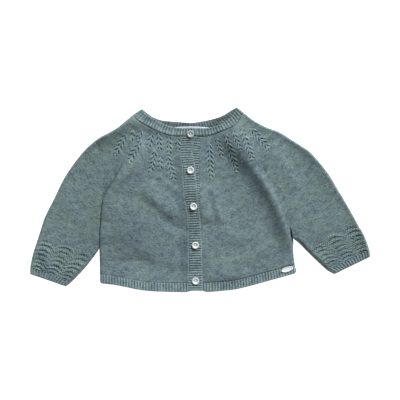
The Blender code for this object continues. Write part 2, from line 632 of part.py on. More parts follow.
def build_hems(look):
    foot_ends = (HEM_LINE[0][0], HEM_LINE[-1][0])
    head_ends = (RIGHT_SIDE[RIGHT_HEM_ROW][0], LEFT_SIDE[LEFT_HEM_ROW][0])
    band_side = UPPER_SEAM[-1][0] - SEAM
    front_hem("right_hem", (foot_ends[0], band_side), (head_ends[0], band_side), True, True, look)
    band_side = LOWER_SEAM[-1][0] + SEAM
    front_hem("left_hem", (band_side, foot_ends[1]), (band_side, head_ends[1]), False, False, look)
    shares = np.linspace(0, 1, BACK_HEM_COLUMNS)
    length = foot_ends[1] - foot_ends[0]
    near = np.asarray(EDGE_STEPS[1:]) / length
    shares = np.sort(np.concatenate([shares, near, 1 - near]))
    distance = np.minimum(shares, 1 - shares) * length
    under = HALF_HEIGHT * (1 - rounding(distance)) - SEAM / 2 * (distance < AT_EDGE)
    plan = hem_grid(foot_ends, head_ends, shares)
    outer = lifted(plan, np.broadcast_to(under, plan.shape[:2]))
    shares = np.linspace(CLOTH / length, 1 - CLOTH / length, 2 * HEM_INSIDE_COLUMNS)
    plan = hem_grid(foot_ends, head_ends, shares)
    height = np.full(plan.shape[:2], RIB_LOW)
    height[:, [0, -1]] = HALF_HEIGHT - SEAM / 2
    wall("back_hem", outer, lifted(plan, height), look)


# ------------------------------------------------------------------------------------------------
# Sleeves and cuffs: one piece of cloth, folded over the outer edge, seamed along the inner one
# ------------------------------------------------------------------------------------------------
SLEEVE_UPPER_ROWS = 7
SLEEVE_LOWER_ROWS = 3
FERN_ROWS = 15
SLEEVE_COLUMNS = 17
LINING_FRONT = (0, 0.3, 0.6, 0.97, 1)   # columns of the inside's front, then of its back: shares
LINING_BACK = (0.97, 0.5, 0)            # of the way from the seam to the fold


def sleeve_edges(raglan, side, seam, fold, rows, clear):
    """Inner and outer edge of a sleeve from the neckband to the cuff, row by row.

    `rows` names the rows of the tables that face each other: of the side, the notch where the
    sleeve leaves the body; of the seam, the top of the ferns and of the cuff; of the fold, the
    places opposite the underarm, the notch, the ferns' top and the cuff's.
    """
    inner = join(yoke_run(raglan, 0, len(raglan) - 1, SLEEVE_YOKE_ROWS),
                 evenly(side, 0, rows["side_notch"], SLEEVE_UPPER_ROWS))
    inner = aside(inner, clear)
    below = join(evenly(seam, 0, rows["seam_fern"], SLEEVE_LOWER_ROWS),
                 evenly(seam, rows["seam_fern"], rows["seam_cuff"], FERN_ROWS))
    inner = join(inner, below)
    outer = join(yoke_run(fold, 0, rows["fold_underarm"], SLEEVE_YOKE_ROWS),
                 evenly(fold, rows["fold_underarm"], rows["fold_notch"], SLEEVE_UPPER_ROWS),
                 evenly(fold, rows["fold_notch"], rows["fold_fern"], SLEEVE_LOWER_ROWS),
                 evenly(fold, rows["fold_fern"], rows["fold_cuff"], FERN_ROWS))
    return inner, outer


RIGHT_ROWS = {"side_notch": 5, "seam_fern": 1, "seam_cuff": 3,
              "fold_underarm": 5, "fold_notch": 8, "fold_fern": 9, "fold_cuff": 11}
LEFT_ROWS = {"side_notch": 3, "seam_fern": 2, "seam_cuff": 4,
             "fold_underarm": 7, "fold_notch": 10, "fold_fern": 11, "fold_cuff": 13}


def fern_relief(across, height_along, width):
    """Height of the ferns above the cuff, each a stem with slanting leaflets on both sides."""
    spacing = width / FERN_COUNT
    place = across * width
    t = np.abs((place / spacing) % 1 - 0.5) * spacing
    wave = 0.5 + 0.5 * np.cos(2 * np.pi * (height_along - LEAFLET_SLANT * t) / FERN_PITCH)
    stem = np.exp(-(t / FERN_STEM)**2)
    gutter = np.clip((spacing / 2 - t) / FERN_EDGE, 0, 1)
    return SPRIG_HEIGHT * np.maximum(wave, stem) * gutter


def tube_wall(name, inner_edge, outer_edge, folded, tops, relief, thick, look, count):
    """A flattened sleeve or cuff: front columns, the fold, back columns, out and inside."""
    width = np.linalg.norm(outer_edge - inner_edge, axis=1)
    folded = folded[:, None]
    front = columns(width, UNDERARM_STEPS, EDGE_STEPS, count)
    back = columns(width, UNDERARM_STEPS, EDGE_STEPS, 3)[:, ::-1][:, 1:]
    grids = []
    for across, is_front in ((front, True), (back, False)):
        plan = patch(inner_edge, outer_edge, across, tops)
        inward = across * width[:, None]
        outward = (1 - across) * width[:, None]
        share = side_height(inward, folded, UNDERARM_REACH) * rounding(outward)
        if is_front:
            near = 1 - folded * (1 - ease(inward / FOLD_FADE))
            rise = upper_inside(plan[..., 0], plan[..., 1]) - CLOTH - LAYER_GAP
            full = CLOTH + LAYER_GAP + rise * near + thick + relief(across, plan)
            height = HALF_HEIGHT + (full - HALF_HEIGHT) * share
            height += folded * SEAM / 2 * (inward < AT_EDGE)
        else:
            height = HALF_HEIGHT * (1 - share) - folded * SEAM / 2 * (inward < AT_EDGE)
        grids.append(lifted(plan, height))
    outer = np.concatenate(grids, axis=1)

    lining = []
    inset = CLOTH * folded
    turn = width[:, None] - CLOTH
    for shares, is_front in ((LINING_FRONT, True), (LINING_BACK, False)):
        place = inset + np.asarray(shares)[None, :] * (turn - inset)
        across = place / width[:, None]
        plan = patch(inner_edge, outer_edge, across, tops)
        if is_front:
            rise = upper_inside(plan[..., 0], plan[..., 1]) - CLOTH - LAYER_GAP
            near = 1 - folded * (1 - ease(place / FOLD_FADE))
            height = CLOTH + LAYER_GAP + rise * near
            height[:, -1] = HALF_HEIGHT
            height[:, 0] += folded[:, 0] * (HALF_HEIGHT + SEAM / 2 - height[:, 0])
        else:
            height = np.full(plan.shape[:2], CLOTH)
            height[:, -1] += folded[:, 0] * (HALF_HEIGHT - SEAM / 2 - CLOTH)
        lining.append(lifted(plan, height))
    inside = np.concatenate(lining, axis=1)
    return wall(name, outer, inside[every_second(len(width))], look)


def build_sleeve(name, raglan, side, seam, fold, rows, clear, neck_ends, look):
    inner, outer = sleeve_edges(raglan, side, seam, fold, rows, clear)
    fold_x, raglan_x = neck_ends
    top_line = neck_line(NECK_LOW, min(fold_x, raglan_x), max(fold_x, raglan_x))

    def top(shares):
        """The neckband's lower edge from the raglan seam out to the fold."""
        order = 1 - shares if fold_x < raglan_x else shares
        return top_line(order) - (0, NECK_SEAM)

    inner[0] = top(np.array([0.0]))[0]
    outer[0] = top(np.array([1.0]))[0]
    folded = folded_share(inner, seam[0])
    width = np.linalg.norm(outer - inner, axis=1)
    first_fern = len(inner) - FERN_ROWS
    down = np.maximum(lengths(outer) - lengths(outer)[first_fern], 0)[:, None]

    def relief(across, plan):
        ferns = fern_relief(across, down, width[:, None])
        ferns[:first_fern] = 0
        ferns[-1] = 0
        return ferns + sprig_relief(plan[..., 0], plan[..., 1])

    return tube_wall(name, inner, outer, folded, top, relief, CLOTH, look, SLEEVE_COLUMNS)


def build_cuff(name, seam, fold, rows, look):
    """A ribbed cuff, sewn on below the ferns; its ridges show on the upper side."""
    inner = evenly(seam, rows["seam_cuff"], len(seam) - 1, 2)
    outer = evenly(fold, rows["fold_cuff"], len(fold) - 1, 2)
    step = (inner[1] - inner[0]) / np.linalg.norm(inner[1] - inner[0])
    inner[0] += step * SEAM
    step = (outer[1] - outer[0]) / np.linalg.norm(outer[1] - outer[0])
    outer[0] += step * SEAM
    ribs = round(np.linalg.norm(outer[1] - inner[1]) / CUFF_RIB_PITCH)

    def relief(across, plan):
        """A groove and a ridge in turn, column by column."""
        return (RIB_HIGH - RIB_LOW) * np.broadcast_to(np.arange(across.shape[1]) % 2, across.shape)

    count = 2 * ribs - 3
    return tube_wall(name, inner, outer, np.ones(2), None, relief, RIB_LOW, look, count)


# ------------------------------------------------------------------------------------------------
# Neckband: one ribbed strip from one front opening round the neck to the other
# ------------------------------------------------------------------------------------------------
NECK_INSIDE_COLUMNS = 12        # columns of points on the plain inside of a front stretch
NECK_FOLD_STEP = 1.0            # from the last of them to the shoulder's fold


def neck_length(low, top, first, last):
    """Length of the strip's middle between two rows of its edges."""
    at = np.linspace(first, last, 801)
    return lengths((smooth(low, at) + smooth(top, at)) / 2)[-1]


def neck_plan(low, top, first, last, shares):
    """Both edges of the strip seen from above, at shares of its length."""
    at = np.linspace(first, last, 801)
    along = lengths((smooth(low, at) + smooth(top, at)) / 2)
    places = np.interp(shares * along[-1], along, at)
    return np.stack([smooth(low, places), smooth(top, places)])


def neck_front(end_row, fold_row, climbs):
    """A front stretch from the opening to the shoulder's fold: its outer grid and its inner one."""
    length = neck_length(NECK_LOW, NECK_TOP, end_row, fold_row)
    ribbed, ridge = rib_columns(length, NECK_RIB_PITCH)
    plain = np.linspace(0, 1 - (CLOTH + NECK_FOLD_STEP) / length, NECK_INSIDE_COLUMNS)
    plain = np.append(plain, 1 - CLOTH / length)
    settling = np.array([[1.0], [1.0 - NECK_SETTLES]])
    grids = []
    for shares, is_outer in ((ribbed, True), (plain, False)):
        plan = neck_plan(NECK_LOW, NECK_TOP, end_row, fold_row, shares)
        to_fold = (1 - shares) * length
        height = front_heights(plan, to_fold, 0, climbs, settling)
        if is_outer:
            thick = RIB_LOW + (RIB_HIGH - RIB_LOW) * ridge
            height = HALF_HEIGHT + (height + thick - HALF_HEIGHT) * rounding(to_fold)
        else:
            height[:, -1] = HALF_HEIGHT
        grids.append(lifted(plan, height))
    return grids


def neck_back():
    """The stretch round the back, flat underneath, with low ridges on its inside."""
    last_row = len(BACK_NECK_LOW) - 1
    length = neck_length(BACK_NECK_LOW, BACK_NECK_TOP, 0, last_row)
    shares, _ = rib_columns(length, NECK_RIB_PITCH)
    plan = neck_plan(BACK_NECK_LOW, BACK_NECK_TOP, 0, last_row, shares)
    under = HALF_HEIGHT * (1 - rounding(np.minimum(shares, 1 - shares) * length))
    outer = lifted(plan, np.broadcast_to(under, plan.shape[:2]))
    inset = CLOTH / length
    shares, ridge = rib_columns(length - 2 * CLOTH, NECK_RIB_PITCH)
    shares = inset + shares * (1 - 2 * inset)
    plan = neck_plan(BACK_NECK_LOW, BACK_NECK_TOP, 0, last_row, shares)
    height = np.broadcast_to(NECK_BACK + BACK_RIB * ridge, plan.shape[:2])
    return outer[:, 1:-1], lifted(plan, height)[:, 1:-1]


def build_neckband(look):
    last_row = len(NECK_LOW) - 1
    right = neck_front(row_at_x(NECK_LOW, UPPER_NECK_END), 0, True)
    back = neck_back()
    left = neck_front(row_at_x(NECK_LOW, UNDER_NECK_END), last_row, False)
    outside, inside = (np.concatenate([right[i], back[i], left[i][:, ::-1]], axis=1) for i in (0, 1))
    return wall("neckband", outside, inside, look)


# ------------------------------------------------------------------------------------------------
# Button bands
# ------------------------------------------------------------------------------------------------
BAND_INSIDE_ROWS = 30


def band_wall(name, left_table, right_table, raised, look):
    """A band ribbed across its width, lying on the level given by `raised`."""
    grids = []
    length = lengths(evenly(left_table, 0, len(left_table) - 1, 50))[-1]
    shares, ridge = rib_columns(length, BAND_RIB_PITCH)
    for rows, is_outer in ((shares, True), (np.linspace(0, 1, BAND_INSIDE_ROWS), False)):
        left = run(left_table, 0, len(left_table) - 1, rows)
        right = run(right_table, 0, len(right_table) - 1, rows)
        across = np.tile(np.linspace(0, 1, 2 if is_outer else 3), (len(rows), 1))
        top = shifted(neck_line(NECK_LOW, left[0, 0], right[0, 0]), SEAM)
        left[0], right[0] = top(np.array([0.0]))[0], top(np.array([1.0]))[0]
        plan = patch(left, right, across, top)
        height = upper_inside(plan[..., 0], plan[..., 1]) + raised
        if is_outer:
            height = height + RIB_LOW + (RIB_HIGH - RIB_LOW) * ridge[:, None]
        grids.append(lifted(plan, height))
    return wall(name, grids[0], grids[1], look)


def cylinder_cutter(name, x, y, radius, low, high, steps=12):
    """A hidden cutter: a plain upright cylinder."""
    shape = bmesh.new()
    bmesh.ops.create_cone(shape, cap_ends=True, segments=steps, radius1=radius * MM,
                          radius2=radius * MM, depth=(high - low) * MM)
    mesh = bpy.data.meshes.new(name)
    shape.to_mesh(mesh)
    shape.free()
    cutter = bpy.data.objects.new(name, mesh)
    cutter.location = (x * MM, y * MM, (low + high) / 2 * MM)
    cutter.hide_render = True
    cutter.display_type = "WIRE"
    bpy.context.scene.collection.objects.link(cutter)
    return cutter


def cut(target, cutter):
    boolean = target.modifiers.new(cutter.name, "BOOLEAN")
    boolean.operation = "DIFFERENCE"
    boolean.solver = "EXACT"
    boolean.object = cutter


# ------------------------------------------------------------------------------------------------
# Buttons, their thread, the label and the badge
# ------------------------------------------------------------------------------------------------
def turned(name, profile, steps):
    """A solid of revolution about Z; `profile` lists radius and height from bottom to top."""
    angles = np.linspace(0, 2 * np.pi, steps, endpoint=False)
    points, faces = [], []
    for radius, height in profile:
        points += [(radius * math.cos(a) * MM, radius * math.sin(a) * MM, height * MM) for a in angles]
    for ring in range(len(profile) - 1):
        for i in range(steps):
            j = (i + 1) % steps
            low, high = ring * steps, (ring + 1) * steps
            faces.append((low + i, low + j, high + j, high + i))
    faces.append(tuple(reversed(range(steps))))
    faces.append(tuple(range((len(profile) - 1) * steps, len(profile) * steps)))
    mesh = bpy.data.meshes.new(name)
    mesh.from_pydata(points, [], faces)
    return mesh


def staple(name, half_span, thread, high, low):
    """A button's thread: a bar over the button and two legs down to the lower band."""
    outline = [(-half_span - thread / 2, low), (-half_span + thread / 2, low),
               (-half_span + thread / 2, high - thread), (half_span - thread / 2, high - thread),
               (half_span - thread / 2, low), (half_span + thread / 2, low),
               (half_span + thread / 2, high), (-half_span - thread / 2, high)]
    count = len(outline)
    points = [(x * MM, side * thread / 2 * MM, z * MM) for side in (-1, 1) for x, z in outline]
    faces = [tuple(range(count)), tuple(reversed(range(count, 2 * count)))]
    for i in range(count):
        j = (i + 1) % count
        faces.append((i, i + count, j + count, j))
    mesh = bpy.data.meshes.new(name)
    mesh.from_pydata(points, [], faces)
    return mesh


def build_buttons(look, thread_look, neckband, upper_band):
    profile = [(BUTTON_RADIUS - 0.7, 0.0), (BUTTON_RADIUS, 0.7), (BUTTON_RADIUS, BUTTON_HEIGHT - 0.6),
               (BUTTON_RADIUS - 0.7, BUTTON_HEIGHT), (BUTTON_RADIUS - 1.6, BUTTON_HEIGHT),
               (BUTTON_RADIUS - 2.2, BUTTON_HEIGHT - BUTTON_DISH)]
    for number, (x, y) in enumerate(BUTTONS, start=1):
        level = seat_level(x, y, BUTTON_RADIUS, BUTTON_RADIUS)
        under_top = seat_level(x, y, BUTTON_HOLE_OFFSET, THREAD) + RIB_HIGH
        seat = level + BAND_STEP + RIB_HIGH + SEAM
        name = f"button_{number}"
        button = add_object(name, turned(name, profile, 18), look, smooth_below=40)
        button.location = (x * MM, y * MM, seat * MM)
        for side in (-1, 1):
            hole = cylinder_cutter(f"{name}_hole_{side}", x + side * BUTTON_HOLE_OFFSET, y,
                                   BUTTON_HOLE_RADIUS, seat - 1, seat + BUTTON_HEIGHT + 1, 8)
            cut(button, hole)
        eyelet = cylinder_cutter(f"{name}_eyelet", x, y, EYELET_RADIUS, under_top + 0.05, seat + 1)
        cut(neckband if number == 1 else upper_band, eyelet)
        high = seat + BUTTON_HEIGHT - BUTTON_DISH + SEAM + THREAD
        name = f"button_thread_{number}"
        thread = staple(name, BUTTON_HOLE_OFFSET, THREAD, high, under_top + SEAM)
        sewn = add_object(name, thread, thread_look)
        sewn.location = (x * MM, y * MM, 0)


def build_label(look):
    """Bare woven label inside the back of the neck, lying on the neckband's ridges."""
    shape = bmesh.new()
    bmesh.ops.create_cube(shape, size=1.0)
    bmesh.ops.scale(shape, vec=[side * MM for side in LABEL_SIZE], verts=shape.verts)
    mesh = bpy.data.meshes.new("neck_label")
    shape.to_mesh(mesh)
    shape.free()
    label = add_object("neck_label", mesh, look)
    bottom = NECK_BACK + BACK_RIB + SEAM
    label.location = (LABEL_PLACE[0] * MM, LABEL_PLACE[1] * MM, (bottom + LABEL_SIZE[2] / 2) * MM)


def build_badge(look):
    """Bare oval badge sewn on the left hem, with rounded rims."""
    mesh = turned("badge", [(0.92, 0.0), (1.0, 0.3), (1.0, 0.7), (0.88, 1.0)], 28)
    badge = add_object("badge", mesh, look, smooth_below=40)
    for vertex in mesh.vertices:
        vertex.co.x *= BADGE_LENGTH / 2
        vertex.co.y *= BADGE_WIDTH / 2
        vertex.co.z *= BADGE_HEIGHT
    level = seat_level(*BADGE_PLACE, BADGE_LENGTH / 2, BADGE_WIDTH / 2, BADGE_TURN)
    badge.rotation_euler[2] = math.radians(BADGE_TURN)
    seat = level + RIB_HIGH + SEAM
    badge.location = (BADGE_PLACE[0] * MM, BADGE_PLACE[1] * MM, seat * MM)


# ------------------------------------------------------------------------------------------------
# The garment
# ------------------------------------------------------------------------------------------------
def build():
    """Empties the scene and adds every piece; a look is a colour and a roughness."""
    for old in list(bpy.data.objects):
        bpy.data.objects.remove(old, do_unlink=True)
    knit = ((0.157, 0.214, 0.234), 0.95)
    knit_back = ((0.140, 0.192, 0.210), 0.95)
    rib = ((0.175, 0.238, 0.258), 0.95)
    rib_band = ((0.190, 0.250, 0.262), 0.95)
    shell = ((0.66, 0.68, 0.66), 0.3)
    cotton = ((0.55, 0.58, 0.58), 0.8)
    woven = ((0.72, 0.74, 0.86), 0.7)

    build_back(knit_back)
    build_right_front(knit)
    build_left_front(knit)
    right_ends = (NECK_LOW[0][0], RIGHT_RAGLAN[0][0] - RAGLAN_CLEAR)
    left_ends = (NECK_LOW[-1][0], LEFT_RAGLAN[0][0] + RAGLAN_CLEAR)
    build_sleeve("right_sleeve", RIGHT_RAGLAN, RIGHT_SIDE, RIGHT_UNDERARM_SEAM, RIGHT_SLEEVE_FOLD,
                 RIGHT_ROWS, -SEAM, right_ends, knit)
    build_sleeve("left_sleeve", LEFT_RAGLAN, LEFT_SIDE, LEFT_UNDERARM_SEAM, LEFT_SLEEVE_FOLD,
                 LEFT_ROWS, SEAM, left_ends, knit)
    build_cuff("right_cuff", RIGHT_UNDERARM_SEAM, RIGHT_SLEEVE_FOLD, RIGHT_ROWS, rib)
    build_cuff("left_cuff", LEFT_UNDERARM_SEAM, LEFT_SLEEVE_FOLD, LEFT_ROWS, rib)
    build_hems(rib)
    neckband = build_neckband(rib)
    band_wall("button_band", LOWER_FREE, [(x - SEAM, y) for x, y in LOWER_SEAM], 0.0, rib_band)
    upper = band_wall("buttonhole_band", UPPER_SEAM, UPPER_FREE, BAND_STEP, rib_band)
    build_buttons(shell, cotton, neckband, upper)
    build_label(woven)
    build_badge(shell)


build()
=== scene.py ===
"""Baby's knitted cardigan, buttoned up and laid flat on its back.

Lengths are in millimetres; add_piece() makes metres. +X is the wearer's left, +Y the neck.
"""

import bpy
import numpy as np
from numpy.linalg import norm
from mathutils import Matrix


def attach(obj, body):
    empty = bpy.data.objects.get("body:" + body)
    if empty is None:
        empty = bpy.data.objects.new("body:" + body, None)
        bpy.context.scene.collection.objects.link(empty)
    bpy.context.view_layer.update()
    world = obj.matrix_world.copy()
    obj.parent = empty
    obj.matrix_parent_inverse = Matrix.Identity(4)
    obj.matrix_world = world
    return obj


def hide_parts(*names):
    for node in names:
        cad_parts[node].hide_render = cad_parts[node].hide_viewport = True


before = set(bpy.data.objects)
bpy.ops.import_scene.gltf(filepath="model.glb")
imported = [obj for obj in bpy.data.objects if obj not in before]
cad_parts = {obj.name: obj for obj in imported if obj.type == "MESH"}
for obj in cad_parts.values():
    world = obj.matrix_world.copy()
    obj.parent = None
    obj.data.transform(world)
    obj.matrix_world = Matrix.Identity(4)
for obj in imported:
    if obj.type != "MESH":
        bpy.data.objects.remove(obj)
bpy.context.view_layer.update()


# ------------------
# Back: a plain panel in fine stocking stitch, in a heathered grey-green yarn. Its two sides curl up
# below the underarms to meet the fronts in a fold.
KNIT = 2  # thickness of the plain knit
AIR = 0.4  # between the back and what lies on it
FOLD = (2 * KNIT + AIR) / 2  # height at which the two layers meet in a folded edge
FOLD_REACH = 2.6  # how far in a folded edge is rounded
FOLD_STEPS = (0, 0.08, 0.27, 0.55, 0.9, 1.35, 1.9, FOLD_REACH)
FOLD_START = 12  # length below the underarm in which a seam turns into a fold
SEAM = -0.06  # pieces sewn edge to edge overlap a little
NECK_GAP = 0.3  # below the neckband
WALE = 2.05  # width of a stitch
COURSE = 1.55  # height of a stitch


def places(*numbers):
    """Places out of x and y in turn."""
    return list(zip(numbers[::2], numbers[1::2]))


RIGHT_RAGLAN = places(
    -84.8, 111.2, -95, 89.9, -105.9, 65.3, -111.7, 55.1, -119.8, 38.3, -129.1, 22.6, -137.3, 10.9)
RIGHT_SIDE = places(
    -137.3, 10.9, -140.9, 0.4, -142.8, -10.7, -144.3, -29, -145.4, -47.9, -145.8, -70.6, -145.3, -89.9,
    -145.2, -107.8, -145, -120.8)
LEFT_RAGLAN = places(53.7, 111.9, 68.2, 87.7, 81.5, 64.5, 90.3, 47.9, 100.6, 29.4, 117.5, 10.2)
LEFT_SIDE = places(
    117.5, 10.2, 125.4, -13.1, 129.8, -30.2, 134.9, -55.1, 135.3, -68.2, 136, -81.2, 137.4, -91.4,
    139.9, -105.9)
RIGHT_HEM_ROW, LEFT_HEM_ROW = 7, 6  # rows of the two sides where the hem begins
BACK_NECK_LOW = places(
    -97.4, 123.4, -89.2, 114.6, -76.4, 106.6, -57.6, 102, -38.4, 100.6, -13.5, 100, 10.2, 101,
    32.6, 103.6, 47.9, 107.6, 57, 115.3, 63.8, 126.6)
HEM_LINE = places(
    -145, -120.8, -124.7, -123.1, -107.3, -126.4, -89.9, -129.9, -72.5, -132.1, -50.8, -133.1,
    -16.2, -133.4, 5.8, -133.3, 31.9, -131.8, 49.3, -129.9, 66.7, -126.2, 84.1, -121.5, 101.5, -116.7,
    118.9, -111.9, 139.9, -105.9)
HEM_FOOT = HEM_LINE[:5] + places(-50.8, -133.1, -28, -133.6, -19, -133.4, -12.5, -131.7,
                                 3, -131.7, 9, -133.2, 18, -133.1) + HEM_LINE[8:]
HEM_HEIGHT = 13


def even(count):
    """Even shares from 0 to 1."""
    return np.linspace(0, 1, count)


def curve(rows, at):
    """Smooth curve through rows that `at` counts: cubics whose slope at a row is half the step
    between its neighbours."""
    rows = np.asarray(rows, float)
    slopes = np.gradient(rows, axis=0)
    at = np.clip(np.asarray(at, float), 0, len(rows) - 1)
    i = np.minimum(at.astype(int), len(rows) - 2)
    t = (at - i)[:, None]
    return (rows[i] * (2 * t**3 - 3 * t**2 + 1) + slopes[i] * (t**3 - 2 * t**2 + t)
            + rows[i + 1] * (3 * t**2 - 2 * t**3) + slopes[i + 1] * (t**3 - t**2))


def lengths(points):
    """Distance along a run of points from its first one."""
    return np.append(0, np.cumsum(norm(np.diff(points, axis=0), axis=1)))


def stretch(rows, shares, first=0, last=None):
    """Points at shares of the length of a curve between two of its rows."""
    at = np.linspace(first, len(rows) - 1 if last is None else last, 801)
    along = lengths(curve(rows, at))
    return curve(rows, np.interp(np.asarray(shares) * along[-1], along, at))


def row_at(rows, x):
    """The row, with its fraction, at which a curve towards +X reaches x."""
    at = np.linspace(0, len(rows) - 1, 1601)
    return float(np.interp(x, curve(rows, at)[:, 0], at))


def between(rows, first_x, last_x, shift=0):
    """The part of a curve between two x, moved up by `shift`, as a function of shares."""
    def part(shares):
        return stretch(rows, shares, row_at(rows, first_x), row_at(rows, last_x)) + (0, shift)
    return part


def join(*runs):
    """One run out of several that share their ends."""
    return np.concatenate([runs[0]] + [each[1:] for each in runs[1:]])


def aside(points, gap):
    """A run moved sideways to its left by a gap."""
    along = np.gradient(points, axis=0)
    along /= norm(along, axis=1)[:, None]
    return points + gap * np.stack([-along[:, 1], along[:, 0]], axis=1)


def breadth(left, right):
    """Distances between two runs of points, as a column."""
    return norm(right - left, axis=1)[:, None]


def columns(width, start, end, count):
    """Shares across rows: fixed steps in from each side, even ones between."""
    first, last = np.asarray(start) / width, 1 - np.asarray(end[::-1]) / width
    t = even(count)[None, 1:-1]
    middle = first[:, -1:] * (1 - t) + last[:, :1] * t
    return np.concatenate([first, middle, last], axis=1)


def plan(left, right, across, top=None, bottom=None):
    """Plan of a panel: (1 - u) left + u right, bent to the curves across its top and bottom, each
    fading out towards the other; u is the share across, v the way down."""
    u = across[:, :, None]
    v = (lengths(left) / lengths(left)[-1])[:, None, None]
    grid = (1 - u) * left[:, None] + u * right[:, None]
    for line, fade, end in ((top, 1 - v, 0), (bottom, v, -1)):
        if line is not None:
            chord = (1 - u) * left[end] + u * right[end]
            grid = grid + fade * (line(across.ravel()).reshape(grid.shape) - chord)
    return grid


def ease(t):
    """0 below 0, 1 above 1, with no corner between."""
    t = np.clip(t, 0, 1)
    return t * t * (3 - 2 * t)


def rounding(distance, reach=FOLD_REACH):
    """Share of the full height at a distance from a folded edge: a quarter of an ellipse."""
    return np.sqrt(1 - np.clip(1 - distance / reach, 0, 1)**2)


def raised(grid, height):
    """A plan with its heights, as points in space."""
    return np.concatenate([grid, np.broadcast_to(height, grid.shape[:2])[..., None]], axis=2)


def offset(grid, thick):
    """A surface moved inwards by a thickness along its normals, the cross products of the grid's
    two tangents. Its first columns face up."""
    normal = np.cross(np.gradient(grid, axis=0), np.gradient(grid, axis=1))
    normal /= np.maximum(norm(normal, axis=2, keepdims=True), 1e-9)
    upward = np.sign(normal[:, :grid.shape[1] // 10, 2].mean())
    return grid - upward * np.asarray(thick)[..., None] * normal


def lap(distance):
    """Half a seam's overlap, at the very edge only."""
    return SEAM / 2 * (distance < 0.01)


def link(name, data):
    """A new object in the scene."""
    thing = bpy.data.objects.new(name, data)
    bpy.context.scene.collection.objects.link(thing)
    return thing


def add_piece(name, points, faces, look):
    """A piece of the scene from points in millimetres."""
    mesh = bpy.data.meshes.new(name)
    mesh.from_pydata(points * 0.001, [], faces)
    mesh.shade_smooth()
    mesh.materials.append(look)
    piece = link(name, mesh)
    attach(piece, "root")
    return piece


def cloth(name, node, base, relief, inside, stitches, tone, look, step=4):
    """A closed wall of cloth. Its outer points are a grid with `relief` added to the heights; its
    inner ones are at every step-th row and column, `inside` being those points or the thickness.
    `stitches` counts wales and courses; `tone` is 1 on a ridge and 0 in a groove, painted as light
    and shade in the colour."""
    outer = raised(base[..., :2], base[..., 2] + relief)
    inner = inside if np.ndim(inside) == 3 else offset(base, inside)[::step, ::step]
    front = np.arange(outer[..., 0].size).reshape(outer.shape[:2])
    back = front.size + np.arange(inner[..., 0].size).reshape(inner.shape[:2])
    quads = [np.stack([i[:-1, :-1], i[1:, :-1], i[1:, 1:], i[:-1, 1:]], axis=-1).reshape(-1, 4)
             for i in (front, back)]
    rims = [np.concatenate([i[:-1, 0], i[-1, :-1], i[:0:-1, -1], i[0, :0:-1]]) for i in (front, back)]
    out, into = rims[0], np.repeat(rims[1], step)
    out_next, in_next = np.roll(out, -1), np.roll(rims[1], -1)
    fans = np.stack([out_next, out, into], axis=1)
    closing = np.stack([out_next[step - 1::step], rims[1], in_next], axis=1)
    faces = [quads[0], quads[1][:, ::-1], fans, closing]
    row, column = len(outer) // 2 // step * step, outer.shape[1] // 4 // step * step
    here = outer[row, column]
    normal = np.cross(outer[row + 1, column] - here, outer[row, column + 1] - here)
    if normal @ (here - inner[row // step, column // step]) < 0:
        faces = [each[:, ::-1] for each in faces]
    piece = add_piece(name, np.concatenate([outer.reshape(-1, 3), inner.reshape(-1, 3)]),
                      [face for each in faces for face in each.tolist()], look)
    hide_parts(node)
    corner = np.empty(len(piece.data.loops), np.int32)
    piece.data.loops.foreach_get("vertex_index", corner)
    count = np.concatenate([stitches.reshape(-1, 2), stitches[::step, ::step].reshape(-1, 2)])
    piece.data.uv_layers.new(name="stitches").data.foreach_set("uv", count[corner].ravel())
    tone = np.broadcast_to(tone, outer.shape[:2])
    tone = np.concatenate([tone.ravel(), tone[::step, ::step].ravel()])
    piece.data.attributes.new("tone", "FLOAT", "POINT").data.foreach_set("value", tone)
    return piece


def math_node(operation):
    """A method that adds a Math node."""
    return lambda *values: values[0].node("Math", {"operation": operation}, dict(enumerate(values)))


class Socket:
    """An output of a shader node; Python's arithmetic on it adds Math nodes."""

    def __init__(self, tree, output=None):
        self.tree, self.output = tree, output

    def node(self, kind, settings=None, sockets=None, out=0):
        """Adds a node with settings and values or links for its sockets; gives an output."""
        made = self.tree.nodes.new("ShaderNode" + kind)
        for key, value in (settings or {}).items():
            setattr(made, key, value)
        for key, value in (sockets or {}).items():
            if isinstance(value, Socket):
                self.tree.links.new(value.output, made.inputs[key])
            else:
                made.inputs[key].default_value = value
        return Socket(self.tree, made.outputs[out])

    def into(self, key):
        """Links it to an input of the material's shader."""
        self.tree.links.new(self.output, self.tree.nodes["Principled BSDF"].inputs[key])

    __add__ = __radd__ = math_node("ADD")
    __sub__ = math_node("SUBTRACT")
    __mul__ = math_node("MULTIPLY")
    __mod__ = math_node("FLOORED_MODULO")
    __abs__ = math_node("ABSOLUTE")
    sine = math_node("SINE")


def material(name, values):
    """A material with values for its shader, and a socket to add nodes with."""
    look = bpy.data.materials.new(name)
    look.use_nodes = True
    for key, value in values.items():
        look.node_tree.nodes["Principled BSDF"].inputs[key].default_value = value
    return look, Socket(look.node_tree)


